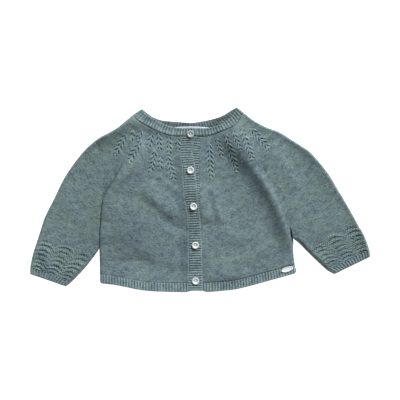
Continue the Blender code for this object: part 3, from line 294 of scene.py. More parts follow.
def knit_look(name, cool, warm, depth):
    """Heathered wool in stocking stitch. A stitch is a V of two legs, highest at a quarter of the
    wale's width, and the courses' ridges bend down to its middle. The colour mottles from fibre to
    fibre and in broad patches. Painted light makes it lighter on the stitches' legs and where the
    tone is high, and painted shade makes it darker where the tone is low, as in grooves."""
    look, start = material(name, {
        "Roughness": 0.95, "Specular IOR Level": 0.2, "Sheen Weight": 0.03, "Sheen Roughness": 0.6})
    count = start.node("UVMap", {"uv_map": "stitches"})
    wales, courses = (start.node("SeparateXYZ", None, {0: count}, i) for i in (0, 1))
    side = abs(wales % 1 - 0.5)
    leg = abs((side * (2 * np.pi)).sine())
    turn = abs(((courses + side * 1.1) * np.pi).sine())
    stitch = leg * 0.55 + turn * 0.45
    place = start.node("TexCoord", out=3)

    def noise(where, scale, detail=2, rough=0.6):
        """Noise about zero."""
        return start.node("TexNoise", None, {
            "Vector": where, "Scale": scale, "Detail": detail, "Roughness": rough}) - 0.5

    def scaled(across, down):
        """The count of the stitches, scaled."""
        return start.node("Mapping", None, {"Vector": count, "Scale": (across, down, 1)})

    fibre, patch = noise(place, 640, 3, 0.7), noise(place, 30, 1)
    streak, blotch = noise(scaled(0.5, 0.62), 1), noise(scaled(0.2, 0.22), 1, 1)
    colour = start.node("Mix", {"data_type": "RGBA"},
                        {0: patch * 2.2 + blotch * 1.4 + 0.5, 6: (*cool, 1), 7: (*warm, 1)}, 2)
    tone = start.node("Attribute", {"attribute_name": "tone"}, out=2)
    # Painted light and shade: the stitches' raised legs and the tone's ridges are made lighter, its
    # grooves, creases and hollows darker.
    bright = (0.95 + fibre * 1.8 + streak * 1.2 + blotch + patch * 0.3 + stitch * 0.12
              + (tone - 0.5) * depth)
    start.node("HueSaturation", None, {"Value": bright, "Color": colour}).into("Base Color")
    start.node("Bump", None, {
        "Strength": 0.55, "Distance": 0.0006, "Height": stitch + fibre * 1.5}).into("Normal")
    return look


plain_knit = knit_look("stocking stitch", (0.138, 0.199, 0.226), (0.149, 0.208, 0.208), 0.5)


def body_edge(raglan, side, last_row, yoke, body):
    """A panel's outer side: down the raglan seam, then down the body to a row of its side."""
    return join(stretch(raglan, yoke), stretch(side, body, 0, last_row))


def pin(left, right, top, bottom):
    """Puts the ends of both sides on the curves across the top and the bottom."""
    for side, share in ((left, 0), (right, 1)):
        side[0], side[-1] = top(np.array([share]))[0], bottom(np.array([share]))[0]


def folded(side, start, full=None):
    """How far a side is a fold: 0 down to the underarm's row, then rising to 1. With `full` the
    rise begins 1 mm above that row."""
    run = lengths(side)
    begins = run[start] if full is None else run[full] - 1
    return ease((run - begins) / FOLD_START)[:, None]


def counted(grid):
    """Wales and courses at each point of a grid."""
    across = norm(np.diff(grid, axis=1), axis=2).cumsum(axis=1)
    across = np.concatenate([np.zeros((len(grid), 1)), across], axis=1)
    down = norm(np.diff(grid, axis=0), axis=2).mean(axis=1).cumsum()
    down = np.broadcast_to(np.append(0, down)[:, None], across.shape)
    return np.stack([across / WALE, -down / COURSE], axis=2)


back_yoke, back_body = even(25), even(37)
left = body_edge(RIGHT_RAGLAN, RIGHT_SIDE, RIGHT_HEM_ROW, back_yoke, back_body)
right = body_edge(LEFT_RAGLAN, LEFT_SIDE, LEFT_HEM_ROW, back_yoke, back_body)
top = between(BACK_NECK_LOW, left[0, 0], right[0, 0], -NECK_GAP)
bottom = between(HEM_LINE, left[-1, 0], right[-1, 0], HEM_HEIGHT)
pin(left, right, top, bottom)
width = breadth(left, right)
across = columns(width, FOLD_STEPS, FOLD_STEPS, 51)
distance = np.minimum(across, 1 - across) * width
fold = folded(left, len(back_yoke) - 1)
base = raised(plan(left, right, across, top, bottom),
              fold * (FOLD * (1 - rounding(distance)) - lap(distance)))
inset = np.minimum(KNIT / width, 0.5) * fold
inner = raised(plan(left, right, inset + across * (1 - 2 * inset), top, bottom), KNIT)
inner[:, [0, -1], 2] += fold * (FOLD - SEAM / 2 - KNIT)
back = cloth("back_panel", "back", base, 0, inner[::4, ::4], counted(base), 0.5, plain_knit)


# ------------------
# Sleeves: one piece of the same knit each, folded over the outer edge, seamed under the arm and
# knitted on along the raglan, with leaf sprigs below the neck and wavy ferns above the cuff.
SETTLED = KNIT + AIR  # underside of the upper layer where it lies closest
UNDERARM_REACH = 7  # how far in the seamed inner edge is rounded
UNDERARM_STEPS = (0, 0.3, 0.8, 1.6, 2.8, 4.6, UNDERARM_REACH)
ROLL, ROLL_WIDTH = 1.4, 7  # a folded edge stands up a little
SWELL_FADE = 5  # width beside a fold in which the swells settle

RIGHT_SEAM = places(-146.3, -71, -152.6, -80.5, -166.9, -98.7, -185.9, -118.5, -194.6, -125.2)
RIGHT_FOLD = places(
    -97.4, 123.4, -118.9, 105.9, -133.4, 97.2, -149.4, 88.2, -169.7, 69.6, -194.3, 36.3, -211.7, 1.5,
    -224.8, -24.7, -231.7, -45.7, -235.9, -58.7, -242.2, -78.3, -245.9, -97.3, -246.2, -107.3)
LEFT_SEAM = places(135, -55.6, 145, -63.9, 154.2, -73.4, 170.5, -89.2, 184.6, -101.9, 194.9, -107.4)
LEFT_FOLD = places(
    63.8, 126.6, 76.1, 116.8, 93.4, 106.8, 115.2, 98.4, 131.2, 88.5, 150.2, 76.4, 163.4, 66.1,
    185.3, 39.6, 200.5, 14.5, 213.5, -7.3, 224.4, -26.7, 230, -37.1, 238.3, -51.4, 245.5, -71.3,
    246.9, -82.2)
NECK_LOW = BACK_NECK_LOW[:3] + places(
    -57.6, 97.3, -38.4, 92.5, -13.5, 92.8, 10.2, 92.4, 32.6, 99.8, 47.9, 107) + BACK_NECK_LOW[-2:]
AIR_LIFT = 1  # of the upper layer off the back
# Soft folds of the upper layer: height (a trough's is negative), width to the left and to the
# right of its crest, and x and y of places along the crest.
FOLDS = [
    (8.4, 50, 15, 20, 97, 35, 91, 49, 81, 69, 60, 90, 31, 111, -6, 125, -45, 133, -75),
    (2.4, 4, 9, 73, 55, 90, 31, 111, -6, 125, -45, 133, -75),
    (5, 14, 18, 43, 114, 53, 96, 66, 73, 80, 48),
    (2.8, 8, 12, -98, 118, -75, 107, -52, 99, -30, 95, -8, 94),
    (7.6, 46, 44, -66, 94, -76, 58, -84, 18, -88, -30, -88, -88),
    (3, 28, 60, -4, 84, -6, 20, -2, -20, 0, -75), (3.4, 22, 6, -106, 66, -122, 36, -137, 4, -145, -30),
    (2.8, 44, 16, -134, 14, -142, -10, -146, -36, -143, -66),
    (3.2, 9, 14, -74, 84, -92, 58, -112, 33, -134, 4), (2.8, 8, 16, 104, 84, 124, 48, 142, 12),
    (3.2, 7, 14, 131, 98, 157, 75, 181, 40, 201, -1), (4.8, 12, 13, -5, 24, 2, -4, 12, -34),
    (3.2, 8, 6, 18, 22, 23, -4, 31, -36), (4, 16, 9, -86, 21, -75, 11, -58, -6, -44, -18, -32, -26),
    (1.3, 4, 6, -63, 37, -54, 30, -37, 17, -19, 4), (-2, 10, 6, -57, -27, -37, -38, -14, -47),
    (2.4, 17, 11, -90, -64, -74, -79, -54, -87, -22, -89, 7, -76, 14, -62),
    (5.6, 8, 13, -152, 85, -130, 98, -108, 110, -84, 121),
    (1.6, 8, 12, -172, 67, -150, 86, -120, 104, -92, 118), (1.2, 8, 8, -66, 57, -54, 46, -40, 31),
    (4.6, 26, 8, -134, -120, -92, -129, -45, -133, 0, -133), (2.8, 22, 10, 4, -108, 32, -110, 70, -104),
    (1.8, 9, 9, 47, -91, 80, -79, 110, -59), (1.2, 12, 12, -202, 36, -194, -1, -176, -37),
    (1.4, 10, 10, 33, -47, 59, -56, 91, -47), (2.5, 5, 9, 226, -22, 240, -50, 246, -88),
    (1.2, 8, 8, 146, -59, 167, -81, 196, -99), (-1.2, 8, 8, 37, -37, 59, -22, 73, -1),
    (1.5, 8, 8, -225, -59, -223, -80, -217, -105)]
LABEL_PLACE, LABEL_REACH, LABEL_ROOM = (-13.4, 99.6), (60, 22), 1


def fold_height(x, y, height, left, right, *crest):
    """height exp(-(d / width)^2) (1 - (2 t - 1)^4): d is the distance from the crest's curve and
    t the share of its length at the nearest place on it."""
    crest = places(*crest)
    line = curve(crest, np.linspace(0, len(crest) - 1, 4 * len(crest)))
    reach = 3 * max(left, right)
    near = ((x > line[:, 0].min() - reach) & (x < line[:, 0].max() + reach)
            & (y > line[:, 1].min() - reach) & (y < line[:, 1].max() + reach))
    across, up = x[near], y[near]
    run = lengths(line) / lengths(line)[-1]
    nearest, side, t = np.full(across.shape, np.inf), 0 * across, 0 * across
    for start, end, first, last in zip(line, line[1:], run, run[1:]):
        dx, dy = end - start
        x0, y0 = across - start[0], up - start[1]
        s = np.clip((x0 * dx + y0 * dy) / (dx * dx + dy * dy), 0, 1)
        away = (x0 - s * dx)**2 + (y0 - s * dy)**2
        closer = away < nearest
        nearest = np.where(closer, away, nearest)
        side = np.where(closer, dx * y0 - dy * x0, side)
        t = np.where(closer, first + s * (last - first), t)
    rise = np.zeros(np.shape(x))
    rise[near] = height * np.exp(-nearest / np.where(side > 0, left, right)**2) * (1 - (2 * t - 1)**4)
    return rise


def roll(distance):
    """Extra height beside a folded edge: ROLL exp(-(d / ROLL_WIDTH)^2)."""
    return ROLL * np.exp(-(distance / ROLL_WIDTH)**2)


def swells(place):
    """How far the upper layer is raised over its settled height."""
    rise = sum(fold_height(place[..., 0], place[..., 1], *fold) for fold in FOLDS)
    label = (((place - LABEL_PLACE) / LABEL_REACH)**4).sum(axis=-1)
    return np.maximum(AIR_LIFT + rise, 0) + LABEL_ROOM * np.exp(-label)


# Leaf sprigs: x and y of the stem's top and of its tip, the leaves' length, and how far the
# pattern is shifted down the stem.
SPRIGS = [
    (-107.3, 95.7, -124, 63.8, 6.4, 0), (-84.1, 88.5, -105, 52.8, 6.6, 0.2),
    (-95.7, 102.5, -100.5, 85, 5, 0.3), (-84.5, 103, -91, 88, 4.6, 0.1),
    (-70, 95.5, -75.4, 75.4, 5.6, 0.5), (-60.9, 99.2, -58, 69.6, 5.2, 0.7),
    (-64.5, 72.5, -73.1, 37.7, 6.4, 0.1), (-57, 63.5, -58.5, 41, 4.6, 0.4),
    (-45.7, 91.9, -45, 64.5, 6, 0.4), (-33.4, 88, -31.9, 69, 5, 0.2),
    (-47.9, 63.8, -36.8, 25.1, 6.6, 0), (12.8, 84.7, 16, 26.6, 6.6, 0.3),
    (23.5, 89.5, 32, 60, 5, 0.8), (36.3, 95.8, 54.2, 37.7, 6.4, 0),
    (47, 100.5, 59.5, 70, 4.8, 0.5), (60, 104, 76.6, 55.1, 6.6, 0.6),
    (73, 104, 102.1, 71.6, 6.4, 0.2)]
LEAF_PITCH, LEAF_SLANT = 7, 1.15  # along the stem, and down for every 1 out
FERN_PITCH, FERN_COUNT, FERN_DROP, FERN_EARLY = 8, 3, 6, 7.5
TONES = (-1.5, 0.85)  # limits of the painted light and shade that a relief adds to the tone


def leaves(down, out, pitch, slant, length, shift=0):
    """Knitted leaves along a stem, a thin cord: each is a lozenge that runs `slant` down for every
    1 out, with a sunk outline and an eyelet under its foot. Across it the height is a half ellipse
    whose half-width follows sqrt(u (1 - u))."""
    phase = (down - slant * out) / pitch - shift
    number = np.round(phase)
    phase = phase - number
    u = np.clip(out / (length * (1 + 0.16 * np.sin(2.7 * number + 9 * shift))), 0, 1)
    half = 0.03 + 0.62 * np.sqrt(u * (1 - u))
    leaf = np.sqrt(np.clip(1 - (phase / half)**2, 0, 1)) * (u < 1)
    leaf = leaf * (1.05 + 0.3 * np.sin(4.1 * number + 5 * shift))
    outline = np.exp(-((np.abs(phase) - half - 0.03) / 0.08)**2) * (u < 1)
    eyelet = np.exp(-((np.abs(phase) - 0.5) / 0.13)**2 - ((out - 2.2) / 0.9)**2)
    stem = np.exp(-(out / 0.8)**2)
    return np.maximum(leaf, 0.75 * stem) - 0.35 * outline * (1 - stem) - 2 * eyelet


def sprigs(place):
    """Height and mask of all the leaf sprigs. A stem's two sides are set off by a fifth of the
    leaves' pitch."""
    x, y = place[..., 0], place[..., 1]
    height, mask = 0 * x, 0 * x
    for x1, y1, x2, y2, leaf, shift in SPRIGS:
        length = np.hypot(x2 - x1, y2 - y1)
        ux, uy = (x2 - x1) / length, (y2 - y1) / length
        down = (x - x1) * ux + (y - y1) * uy
        beside = (y - y1) * ux - (x - x1) * uy
        out = np.abs(beside)
        within = np.clip(1 - (2 * down / length - 1)**2, 0, 1)
        share = ease((leaf * np.sqrt(within) - out) / 1.4 + 0.3) * (within > 0)
        relief = leaves(down, out, LEAF_PITCH, LEAF_SLANT, leaf, shift + 0.1 * np.sign(beside))
        height = height + share * relief * (1 - mask)
        mask = np.maximum(mask, share)
    return height, mask


def ferns(down, out, reach, column):
    """Knitted fern: stacked arches that drop to both sides of their column's middle by
    FERN_DROP (out / reach)^2, with a sunk hollow under each crown that the tone paints dark as
    shade, small stitches along it, and a chain of beads between the columns."""
    pitch = FERN_PITCH * (1 - 0.004 * down)
    wave = 0.6 * np.sin(1.7 * out + 2 * column) + 0.5 * np.sin(0.45 * down + column)
    phase = (down + wave - FERN_DROP * (out / reach)**2) / pitch + 0.37 * column
    number = np.round(phase)
    phase = phase - number
    u = np.clip(out / reach, 0, 1)
    arch = np.sqrt(np.clip(1 - ((phase + 0.1) / (0.34 - 0.12 * u))**2, 0, 1))
    hollow = np.exp(-((phase - 0.36) / 0.16)**2 - ((u - 0.22) / 0.42)**2)
    stitches = np.cos(2 * np.pi * out / 3.4 + 1.9 * number) * np.cos(2 * np.pi * down / 3.7 + number)
    beads = np.exp(-((1 - u) * reach / 1.5)**2) * np.cos(2 * np.pi * down / 4.1 + column)
    return (0.1 + arch * (0.55 - 0.25 * u) - hollow + 0.5 * stitches + 0.4 * beads
            + 0.3 * np.sin(5.1 * number + 2.3 * column) * arch)


CREASE_START, CREASE_WIDTH = 48, 2.2  # of the raglan's crease: along it and across
RIGHT_CREASE, LEFT_CREASE = 2.8, 0.4  # its depths, which also set how much darker the sleeves are painted beside it as shade
RIGHT_NOTCH, LEFT_NOTCH = 5, 3  # the sides' rows where sleeve and body part
SPRIG_HEIGHT, FERN_HEIGHT = 0.65, 0.9


def sleeve(name, node, raglan, side, notch, seam, seam_rows, outer_fold, fold_rows, clear, sunk):
    """A sleeve from the neckband to the cuff, as a flat tube: its front out to the fold, then its
    back to the seam. Down to the notch it is level with the body. `seam_rows` are the seam's rows
    at the ferns' top and the cuff, `fold_rows` the fold's that face neck, underarm, notch, ferns
    and cuff; `sunk` is the depth of the raglan's crease, and sets how much darker the sleeve is
    painted beside it as shade."""
    yoke = join(np.linspace(0, 0.58, 97), np.linspace(0.58, 1, 33))
    upper, lower, above_cuff = (even(count) for count in (73, 17, 65))
    inner_edge = join(aside(body_edge(raglan, side, notch, yoke, upper), clear),
                      stretch(seam, lower, 0, seam_rows[0]), stretch(seam, above_cuff, *seam_rows))
    outer_edge = join(*(stretch(outer_fold, shares, first, last) for shares, first, last
                        in zip((yoke, upper, lower, above_cuff), fold_rows, fold_rows[1:])))
    fold_x, raglan_x = outer_fold[0][0], raglan[0][0] + clear
    neck = between(NECK_LOW, *sorted((fold_x, raglan_x)), -NECK_GAP)

    def top(shares):
        return neck(1 - shares if fold_x < raglan_x else shares)

    inner_edge[0], outer_edge[0] = top(np.array([0, 1]))
    width = breadth(inner_edge, outer_edge)
    hang = folded(inner_edge, len(yoke) - 1, len(yoke) + len(upper) - 2)
    front = columns(width, UNDERARM_STEPS, FOLD_STEPS, 116)
    rear = columns(width, UNDERARM_STEPS, FOLD_STEPS, 20)[:, ::-1][:, 1:]
    across = np.concatenate([front, rear], axis=1)
    is_front = np.arange(across.shape[1]) < front.shape[1]
    grid = plan(inner_edge, outer_edge, across, top)
    inward, outward = across * width, (1 - across) * width
    share = (1 - hang * (1 - rounding(inward, UNDERARM_REACH))) * rounding(outward)
    swell = swells(grid) * (1 - hang * (1 - ease(inward / SWELL_FADE)))
    swell += roll(outward) + hang * roll(inward)

    crease = ease((lengths(inner_edge) - CREASE_START) / 30)[:, None]
    crease = crease * (1 - hang) * np.exp(-inward / CREASE_WIDTH)
    full = SETTLED + KNIT + swell - sunk * crease
    base = raised(grid, np.where(is_front, FOLD + (full - FOLD) * share + hang * lap(inward),
                                 FOLD * (1 - share) - hang * lap(inward)))

    down = (lengths(outer_edge) - lengths(outer_edge)[-len(above_cuff)])[:, None] + FERN_EARLY
    spacing = width / FERN_COUNT
    out = np.abs((inward / spacing) % 1 - 0.5) * spacing
    fern = ferns(down, out, spacing / 2, np.floor(inward / spacing))
    fern_mask = ease((down - 2.5 - 5 * (2 * out / spacing)**2) / 3)
    fern_mask = fern_mask * ease(outward / 2) * ease(inward / 7)
    sprig, sprig_mask = sprigs(grid)
    relief = (sprig * SPRIG_HEIGHT + fern * fern_mask * FERN_HEIGHT) * is_front
    mask = np.maximum(sprig_mask, fern_mask) * is_front
    # Painted light and shade: raised leaves, stems and fern arches are made lighter, sunk outlines,
    # eyelets and hollows darker; the sprigs' area is 0.1 darker.
    tone = 0.5 + np.clip(0.9 * relief + 0.4 * sprig * SPRIG_HEIGHT - 0.1 * mask, *TONES)
    # Painted shade: beside the raglan's crease the sleeve is made darker.
    tone = np.where(is_front, tone - 0.25 * sunk * crease, 0.5)
    return cloth(name, node, base, relief, KNIT, counted(base), tone, sleeve_knit)


sleeve_knit = knit_look("sleeve stitch", (0.139, 0.200, 0.218), (0.150, 0.209, 0.200), 0.5)
right_sleeve = sleeve("right_arm", "right_sleeve", RIGHT_RAGLAN, RIGHT_SIDE, RIGHT_NOTCH,
                      RIGHT_SEAM, (1, 3), RIGHT_FOLD, (0, 5, 8, 9, 11), -SEAM, RIGHT_CREASE)
left_sleeve = sleeve("left_arm", "left_sleeve", LEFT_RAGLAN, LEFT_SIDE, LEFT_NOTCH,
                     LEFT_SEAM, (2, 4), LEFT_FOLD, (0, 7, 10, 11, 13), SEAM, LEFT_CREASE)


# ------------------
# Fronts: two panels of the same knit with leaf sprigs. The right one climbs on to the bands, and a
# column of slipped stitches runs beside its own.
BAND_STEP = 2.5  # of the upper band over the lower one
BAND_RAMP = 14
UPPER_SEAM = places(
    -24.6, 92.2, -28.4, 78.3, -27.6, 63.8, -24.9, 50.8, -23.8, 30.5, -21.9, 2.9, -17.1, -24.7,
    -16.2, -58, -16.1, -94.3, -16.2, -119.6, -16.2, -131.5)
LOWER_SEAM = places(0.3, 92.2, -1, 63.8, -0.5, 2.9, 0.4, -58, 0.7, -119.6, 0.7, -131.5)
LIP_REACH = 3.5  # width that turns down into the raglan's crease
SLIP_WIDTH, SLIP_HEIGHT = 1.3, 0.5  # column of slipped stitches beside a band


def climb(place):
    """Height that the right front has gained towards the upper band's level."""
    seam = curve(UPPER_SEAM, np.linspace(0, len(UPPER_SEAM) - 1, 401))[::-1]
    to_seam = np.interp(place[..., 1], seam[:, 1], seam[:, 0]) - place[..., 0]
    return BAND_STEP * ease(1 - to_seam / BAND_RAMP)


def front(name, node, raglan, side, hem_row, notch, seam, seam_rows, sunk, is_right):
    """A front between its side and its band."""
    yoke, body = join(np.linspace(0, 0.62, 121), np.linspace(0.62, 1, 33)), even(129)
    side = body_edge(raglan, side, hem_row, yoke, body)
    band = aside(join(stretch(seam, yoke, 0, seam_rows[0]), stretch(seam, body, *seam_rows)),
                 -SEAM if is_right else SEAM)
    top = between(NECK_LOW, *sorted((side[0, 0], band[0, 0])), -NECK_GAP)
    bottom = between(HEM_LINE, *sorted((side[-1, 0], band[-1, 0])), HEM_HEIGHT)
    left, right = (side, band) if is_right else (band, side)
    pin(left, right, top, bottom)
    width = breadth(left, right)
    across = columns(width, *((FOLD_STEPS, (0,)) if is_right else ((0,), FOLD_STEPS)), 154)
    grid = plan(left, right, across, top, bottom)
    distance = (across if is_right else 1 - across) * width
    fold = folded(side, len(yoke) - 1, len(yoke) - 1 + round(notch / hem_row * (len(body) - 1)))
    under = SETTLED + swells(grid) * (1 - fold * (1 - ease(distance / SWELL_FADE)))
    if is_right:
        under = under + climb(grid)
    lip = ease((lengths(side) - CREASE_START) / 30)[:, None] * (1 - fold)
    lip = lip * 0.85 * sunk * (1 - rounding(distance, LIP_REACH))
    base = raised(grid, FOLD + (under + KNIT - FOLD) * (1 - fold * (1 - rounding(distance))) - lip
                  + fold * lap(distance))
    sprig, mask = sprigs(grid)
    slip = np.exp(-((width - distance - 1.4) / SLIP_WIDTH)**2) * is_right
    relief = sprig * SPRIG_HEIGHT + slip * SLIP_HEIGHT
    # Painted light and shade: raised leaves, stems and the slipped column are made lighter, sunk outlines
    # and eyelets darker; the sprigs' area is 0.1 darker.
    tone = 0.5 + np.clip(1.3 * sprig * SPRIG_HEIGHT - 0.1 * mask + 0.3 * slip, *TONES)
    from_band = slice(None, None, -1 if is_right else 1)
    stitches = counted(base[:, from_band])[:, from_band]
    return cloth(name, node, base, relief, KNIT, stitches, tone, plain_knit)


right_front = front("right_body", "right_front", RIGHT_RAGLAN, RIGHT_SIDE, RIGHT_HEM_ROW, RIGHT_NOTCH,
                    UPPER_SEAM, (5, 9), RIGHT_CREASE, True)
left_front = front("left_body", "left_front", LEFT_RAGLAN, LEFT_SIDE, LEFT_HEM_ROW, LEFT_NOTCH,
                   LOWER_SEAM, (2, 4), LEFT_CREASE, False)


# ------------------
# Ribbed hems: one knit and one purl stitch in turn, knitted on below the back and both fronts,
# cast off along the lower edge.
RIB_THICK = 1.5  # of the ribbed knit in its grooves
RIB_RISE = 0.9  # height of its ridges
HEM_PITCH = 4.1  # from ridge to ridge
PER_RIB = 12  # columns of points for each rib
CAST_OFF, CHAIN_DEPTH = 0.35, 1.2  # height of the cast-off chain, and where ribs end
CORNER = 3.6  # radius of the hem's corners
FAR = 1e3  # stands for no fold

rib_knit = knit_look("rib", (0.146, 0.207, 0.226), (0.154, 0.211, 0.212), 0.85)
hem_knit = knit_look("hem rib", (0.163, 0.231, 0.252), (0.172, 0.236, 0.240), 0.7)


def ridges(length, pitch):
    """Shares along a ribbed edge, 1 on its ridges and 0 in its grooves, and its wales."""
    ribs = max(1, round(length / pitch))
    shares = even(ribs * PER_RIB + 1)
    return shares, (0.5 - 0.5 * np.cos(2 * np.pi * ribs * shares))**0.8, 2 * ribs * shares


def chain(distance, along):
    """Cast-off chain: a cord 1 mm in from the edge, with a bead for every other wale."""
    return np.exp(-((distance - 1) / 0.7)**2) * (0.75 + 0.25 * np.cos(np.pi * along / WALE))


def to_folds(shares, length, first, last):
    """Distance from the nearer folded end of a strip."""
    return np.minimum(shares * length if first else FAR, (1 - shares) * length if last else FAR)[None]


def ribbed(name, node, base, relief, inside, wales, courses, tone, look, step=4):
    """A wall of ribbed cloth, whose ridges are in the middle of a wale."""
    stitches = np.stack(np.broadcast_arrays(wales + 0.5, courses), axis=2)
    return cloth(name, node, base, relief, inside, stitches, tone, look, step)


def hem(name, node, foot, head, fold_at_left, fold_at_right):
    """A stretch of hem, 17 rows high, between two x at its foot and its head. At a folded end its
    corner is a quarter circle; with a fold at both ends it is the back's."""
    down = even(17)[:, None]
    length = foot[1] - foot[0]
    shares, rib, wales = ridges(length, HEM_PITCH)
    distance = to_folds(shares, length, fold_at_left, fold_at_right)
    head_line = between(HEM_LINE, *head, HEM_HEIGHT - SEAM)(shares)
    foot_line = between(HEM_FOOT, *foot)(shares)
    foot_line[:, 1] += CORNER * (1 - rounding(distance[0], CORNER))
    grid = head_line[None] * (1 - down[..., None]) + foot_line[None] * down[..., None]
    if fold_at_left and fold_at_right:
        base = raised(grid, FOLD * (1 - rounding(distance)) - lap(distance))
        relief, tone = 0, 0.5
        inside = raised(grid, RIB_THICK)
        inside[:, [0, -1], 2] = FOLD - SEAM / 2
        inside[:, [0, -1], 0] += (KNIT, -KNIT)
        inside = inside[::4, ::4]
    else:
        lift = swells(grid) * ease(distance / SWELL_FADE) + (climb(grid) if fold_at_left else 0)
        to_foot = (1 - down) * HEM_HEIGHT
        edge = chain(to_foot, shares[None] * length)
        begins = ease(0.3 + down * HEM_HEIGHT / 2.2)
        share = ease(to_foot / CHAIN_DEPTH) * begins
        relief = (RIB_RISE * rib * share + CAST_OFF * edge) * rounding(distance)
        # Painted light and shade: ridges and the cast-off chain are made lighter, grooves darker.
        tone = 0.5 + (rib - 0.5) * share * 0.9 + 0.35 * edge
        thick = RIB_THICK - 0.5 * (1 - rounding(to_foot, 1)) + (KNIT - RIB_THICK) * (1 - begins) * 1.2
        base = raised(grid, FOLD + (SETTLED + lift + thick - FOLD) * rounding(distance) + lap(distance))
        inside = RIB_THICK
    return ribbed(name, node, base, relief, inside, wales, -down * HEM_HEIGHT / COURSE, tone, hem_knit)


foot = (HEM_LINE[0][0], HEM_LINE[-1][0])
head = (RIGHT_SIDE[RIGHT_HEM_ROW][0], LEFT_SIDE[LEFT_HEM_ROW][0])
upper_side, lower_side = UPPER_SEAM[-1][0] - SEAM, LOWER_SEAM[-1][0] + SEAM
right_hem = hem("right_foot", "right_hem", (foot[0], upper_side), (head[0], upper_side), True, False)
left_hem = hem("left_foot", "left_hem", (lower_side, foot[1]), (lower_side, head[1]), False, True)
back_hem = hem("back_foot", "back_hem", foot, head, True, True)


# ------------------
# Ribbed cuffs: narrow tubes in the same rib, knitted on below the ferns and cast off.
CUFF_PITCH = 3.9


def cuff(name, node, seam, seam_row, outer_fold, fold_row):
    """A cuff between its seam and its fold: front with ribs, then plain back, 13 rows deep."""
    down = even(13)
    inner_edge, outer_edge = stretch(seam, down, seam_row), stretch(outer_fold, down, fold_row)
    width = breadth(inner_edge, outer_edge)
    front, rib, wales = ridges(width[-1, 0], CUFF_PITCH)
    rear = np.linspace(1, 0, 33)[1:]
    across = np.tile(np.append(front, rear), (len(down), 1))
    is_front = np.arange(across.shape[1]) < len(front)
    grid = plan(inner_edge, outer_edge, across)
    inward, outward = across * width, (1 - across) * width
    share = rounding(inward, UNDERARM_REACH) * rounding(outward)
    lift = swells(grid) * ease(inward / SWELL_FADE) + roll(outward) + roll(inward)
    full = SETTLED + RIB_THICK + lift
    base = raised(grid, np.where(is_front, FOLD + (full - FOLD) * share + lap(inward),
                                 FOLD * (1 - share) - lap(inward)))
    to_foot = ((1 - down) * lengths(inner_edge)[-1])[:, None]
    rib, end = np.append(rib, 0 * rear), ease(to_foot / CHAIN_DEPTH)
    relief = (RIB_RISE * rib * end + CAST_OFF * chain(to_foot, inward)) * share * is_front
    # Painted light and shade: ridges are made lighter, grooves darker, and the last 1.8 mm above the foot
    # is painted darker as shade.
    tone = 0.5 + ((rib - 0.5) * 0.7 * end - 0.7 * (1 - ease(to_foot / 1.8))) * is_front
    wales = np.append(wales, 2 * rear * width[-1, 0] / CUFF_PITCH)
    return ribbed(name, node, base, relief, RIB_THICK, wales, to_foot / COURSE, tone, rib_knit)


right_cuff = cuff("right_wrist", "right_cuff", RIGHT_SEAM, 3, RIGHT_FOLD, 11)
left_cuff = cuff("left_wrist", "left_cuff", LEFT_SEAM, 4, LEFT_FOLD, 13)


# ------------------
# Neckband: one ribbed strip, its right end lapped over its left one. Behind, its ribbed inside
# shows over the front's edge.
NECK_PITCH = 4.2
NECK_TOP = places(
    -84.5, 132.4, -79, 125.7, -69.2, 119.3, -52.3, 110.3, -35.5, 105.1, -13.5, 104.5, 8.6, 104.3,
    28, 109, 40.9, 116.7, 48.6, 125.4, 53.5, 134.6)
BACK_NECK_TOP = places(
    -84.5, 132.4, -77.6, 126.9, -68.2, 120.2, -53.7, 115.4, -33.4, 113.4, -12.3, 112.2, 5.8, 114.6,
    21.8, 118.3, 34.1, 123, 44.2, 129.4, 53.5, 134.6)
UPPER_NECK_END, LOWER_NECK_END = -3.9, -19
NECK_BULK = 0.7  # the neckband's front is this much thicker than the yoke
NECK_SETTLES = 0.75  # share of the swells that is gone at its upper edge
NECK_THICK_BACK = 1.9


def neck_stretch(low, top, first, last, fold_first, fold_last):
    """A stretch of the strip, 17 rows high: its surface without the ribs, the ribs' height, the
    tone, wales, courses, and thickness. With a fold at both ends it is the back's, whose ribs are
    on the inside."""
    at = np.linspace(first, last, 801)
    along = lengths((curve(low, at) + curve(top, at)) / 2)
    shares, rib, wales = ridges(along[-1], NECK_PITCH)
    rows = np.interp(shares * along[-1], along, at)
    up = even(17)[:, None]
    low_line, top_line = curve(low, rows), curve(top, rows)
    grid = low_line[None] * (1 - up[..., None]) + top_line[None] * up[..., None]
    to_fold = to_folds(shares, along[-1], fold_first, fold_last)
    height = breadth(low_line, top_line).T
    to_top, to_low = (1 - up) * height, up * height
    end = ease(to_top / 1.6) * ease(to_low / 1.5)
    edge = chain(to_top, shares[None] * along[-1])
    thin = 0.5 * (1 - rounding(to_top, 1))
    if fold_first and fold_last:
        # The back's inside is painted 0.42 darker: painted shade.
        level, relief, dark = FOLD * (1 - rounding(to_fold)), 0, 0.42
        thick = NECK_THICK_BACK + 0.7 * rib * end - thin
    else:
        lift = swells(grid) * (1 - NECK_SETTLES * ease(to_low / 9)) + (climb(grid) if fold_last else 0)
        bulk = NECK_BULK * ease(to_low / 3) - thin
        level = FOLD + (SETTLED + RIB_THICK + bulk + lift - FOLD) * rounding(to_fold)
        relief, dark = (RIB_RISE * rib * end + CAST_OFF * edge) * rounding(to_fold), 0.1
        thick = RIB_THICK
    # Painted light and shade: ridges and the cast-off chain are made lighter, grooves darker.
    tone = 0.5 + (rib - 0.5) * (0.7 - 0.4 * dark) * end + 0.3 * edge - dark
    # Painted shadow: a strip along the lower edge, where the band meets the yoke, is made darker.
    tone = tone - 0.4 * np.exp(-(to_low / 1.5)**2) * ease(to_fold / 14)
    return raised(grid, level), *np.broadcast_arrays(relief, tone, wales, up * height / COURSE, thick)


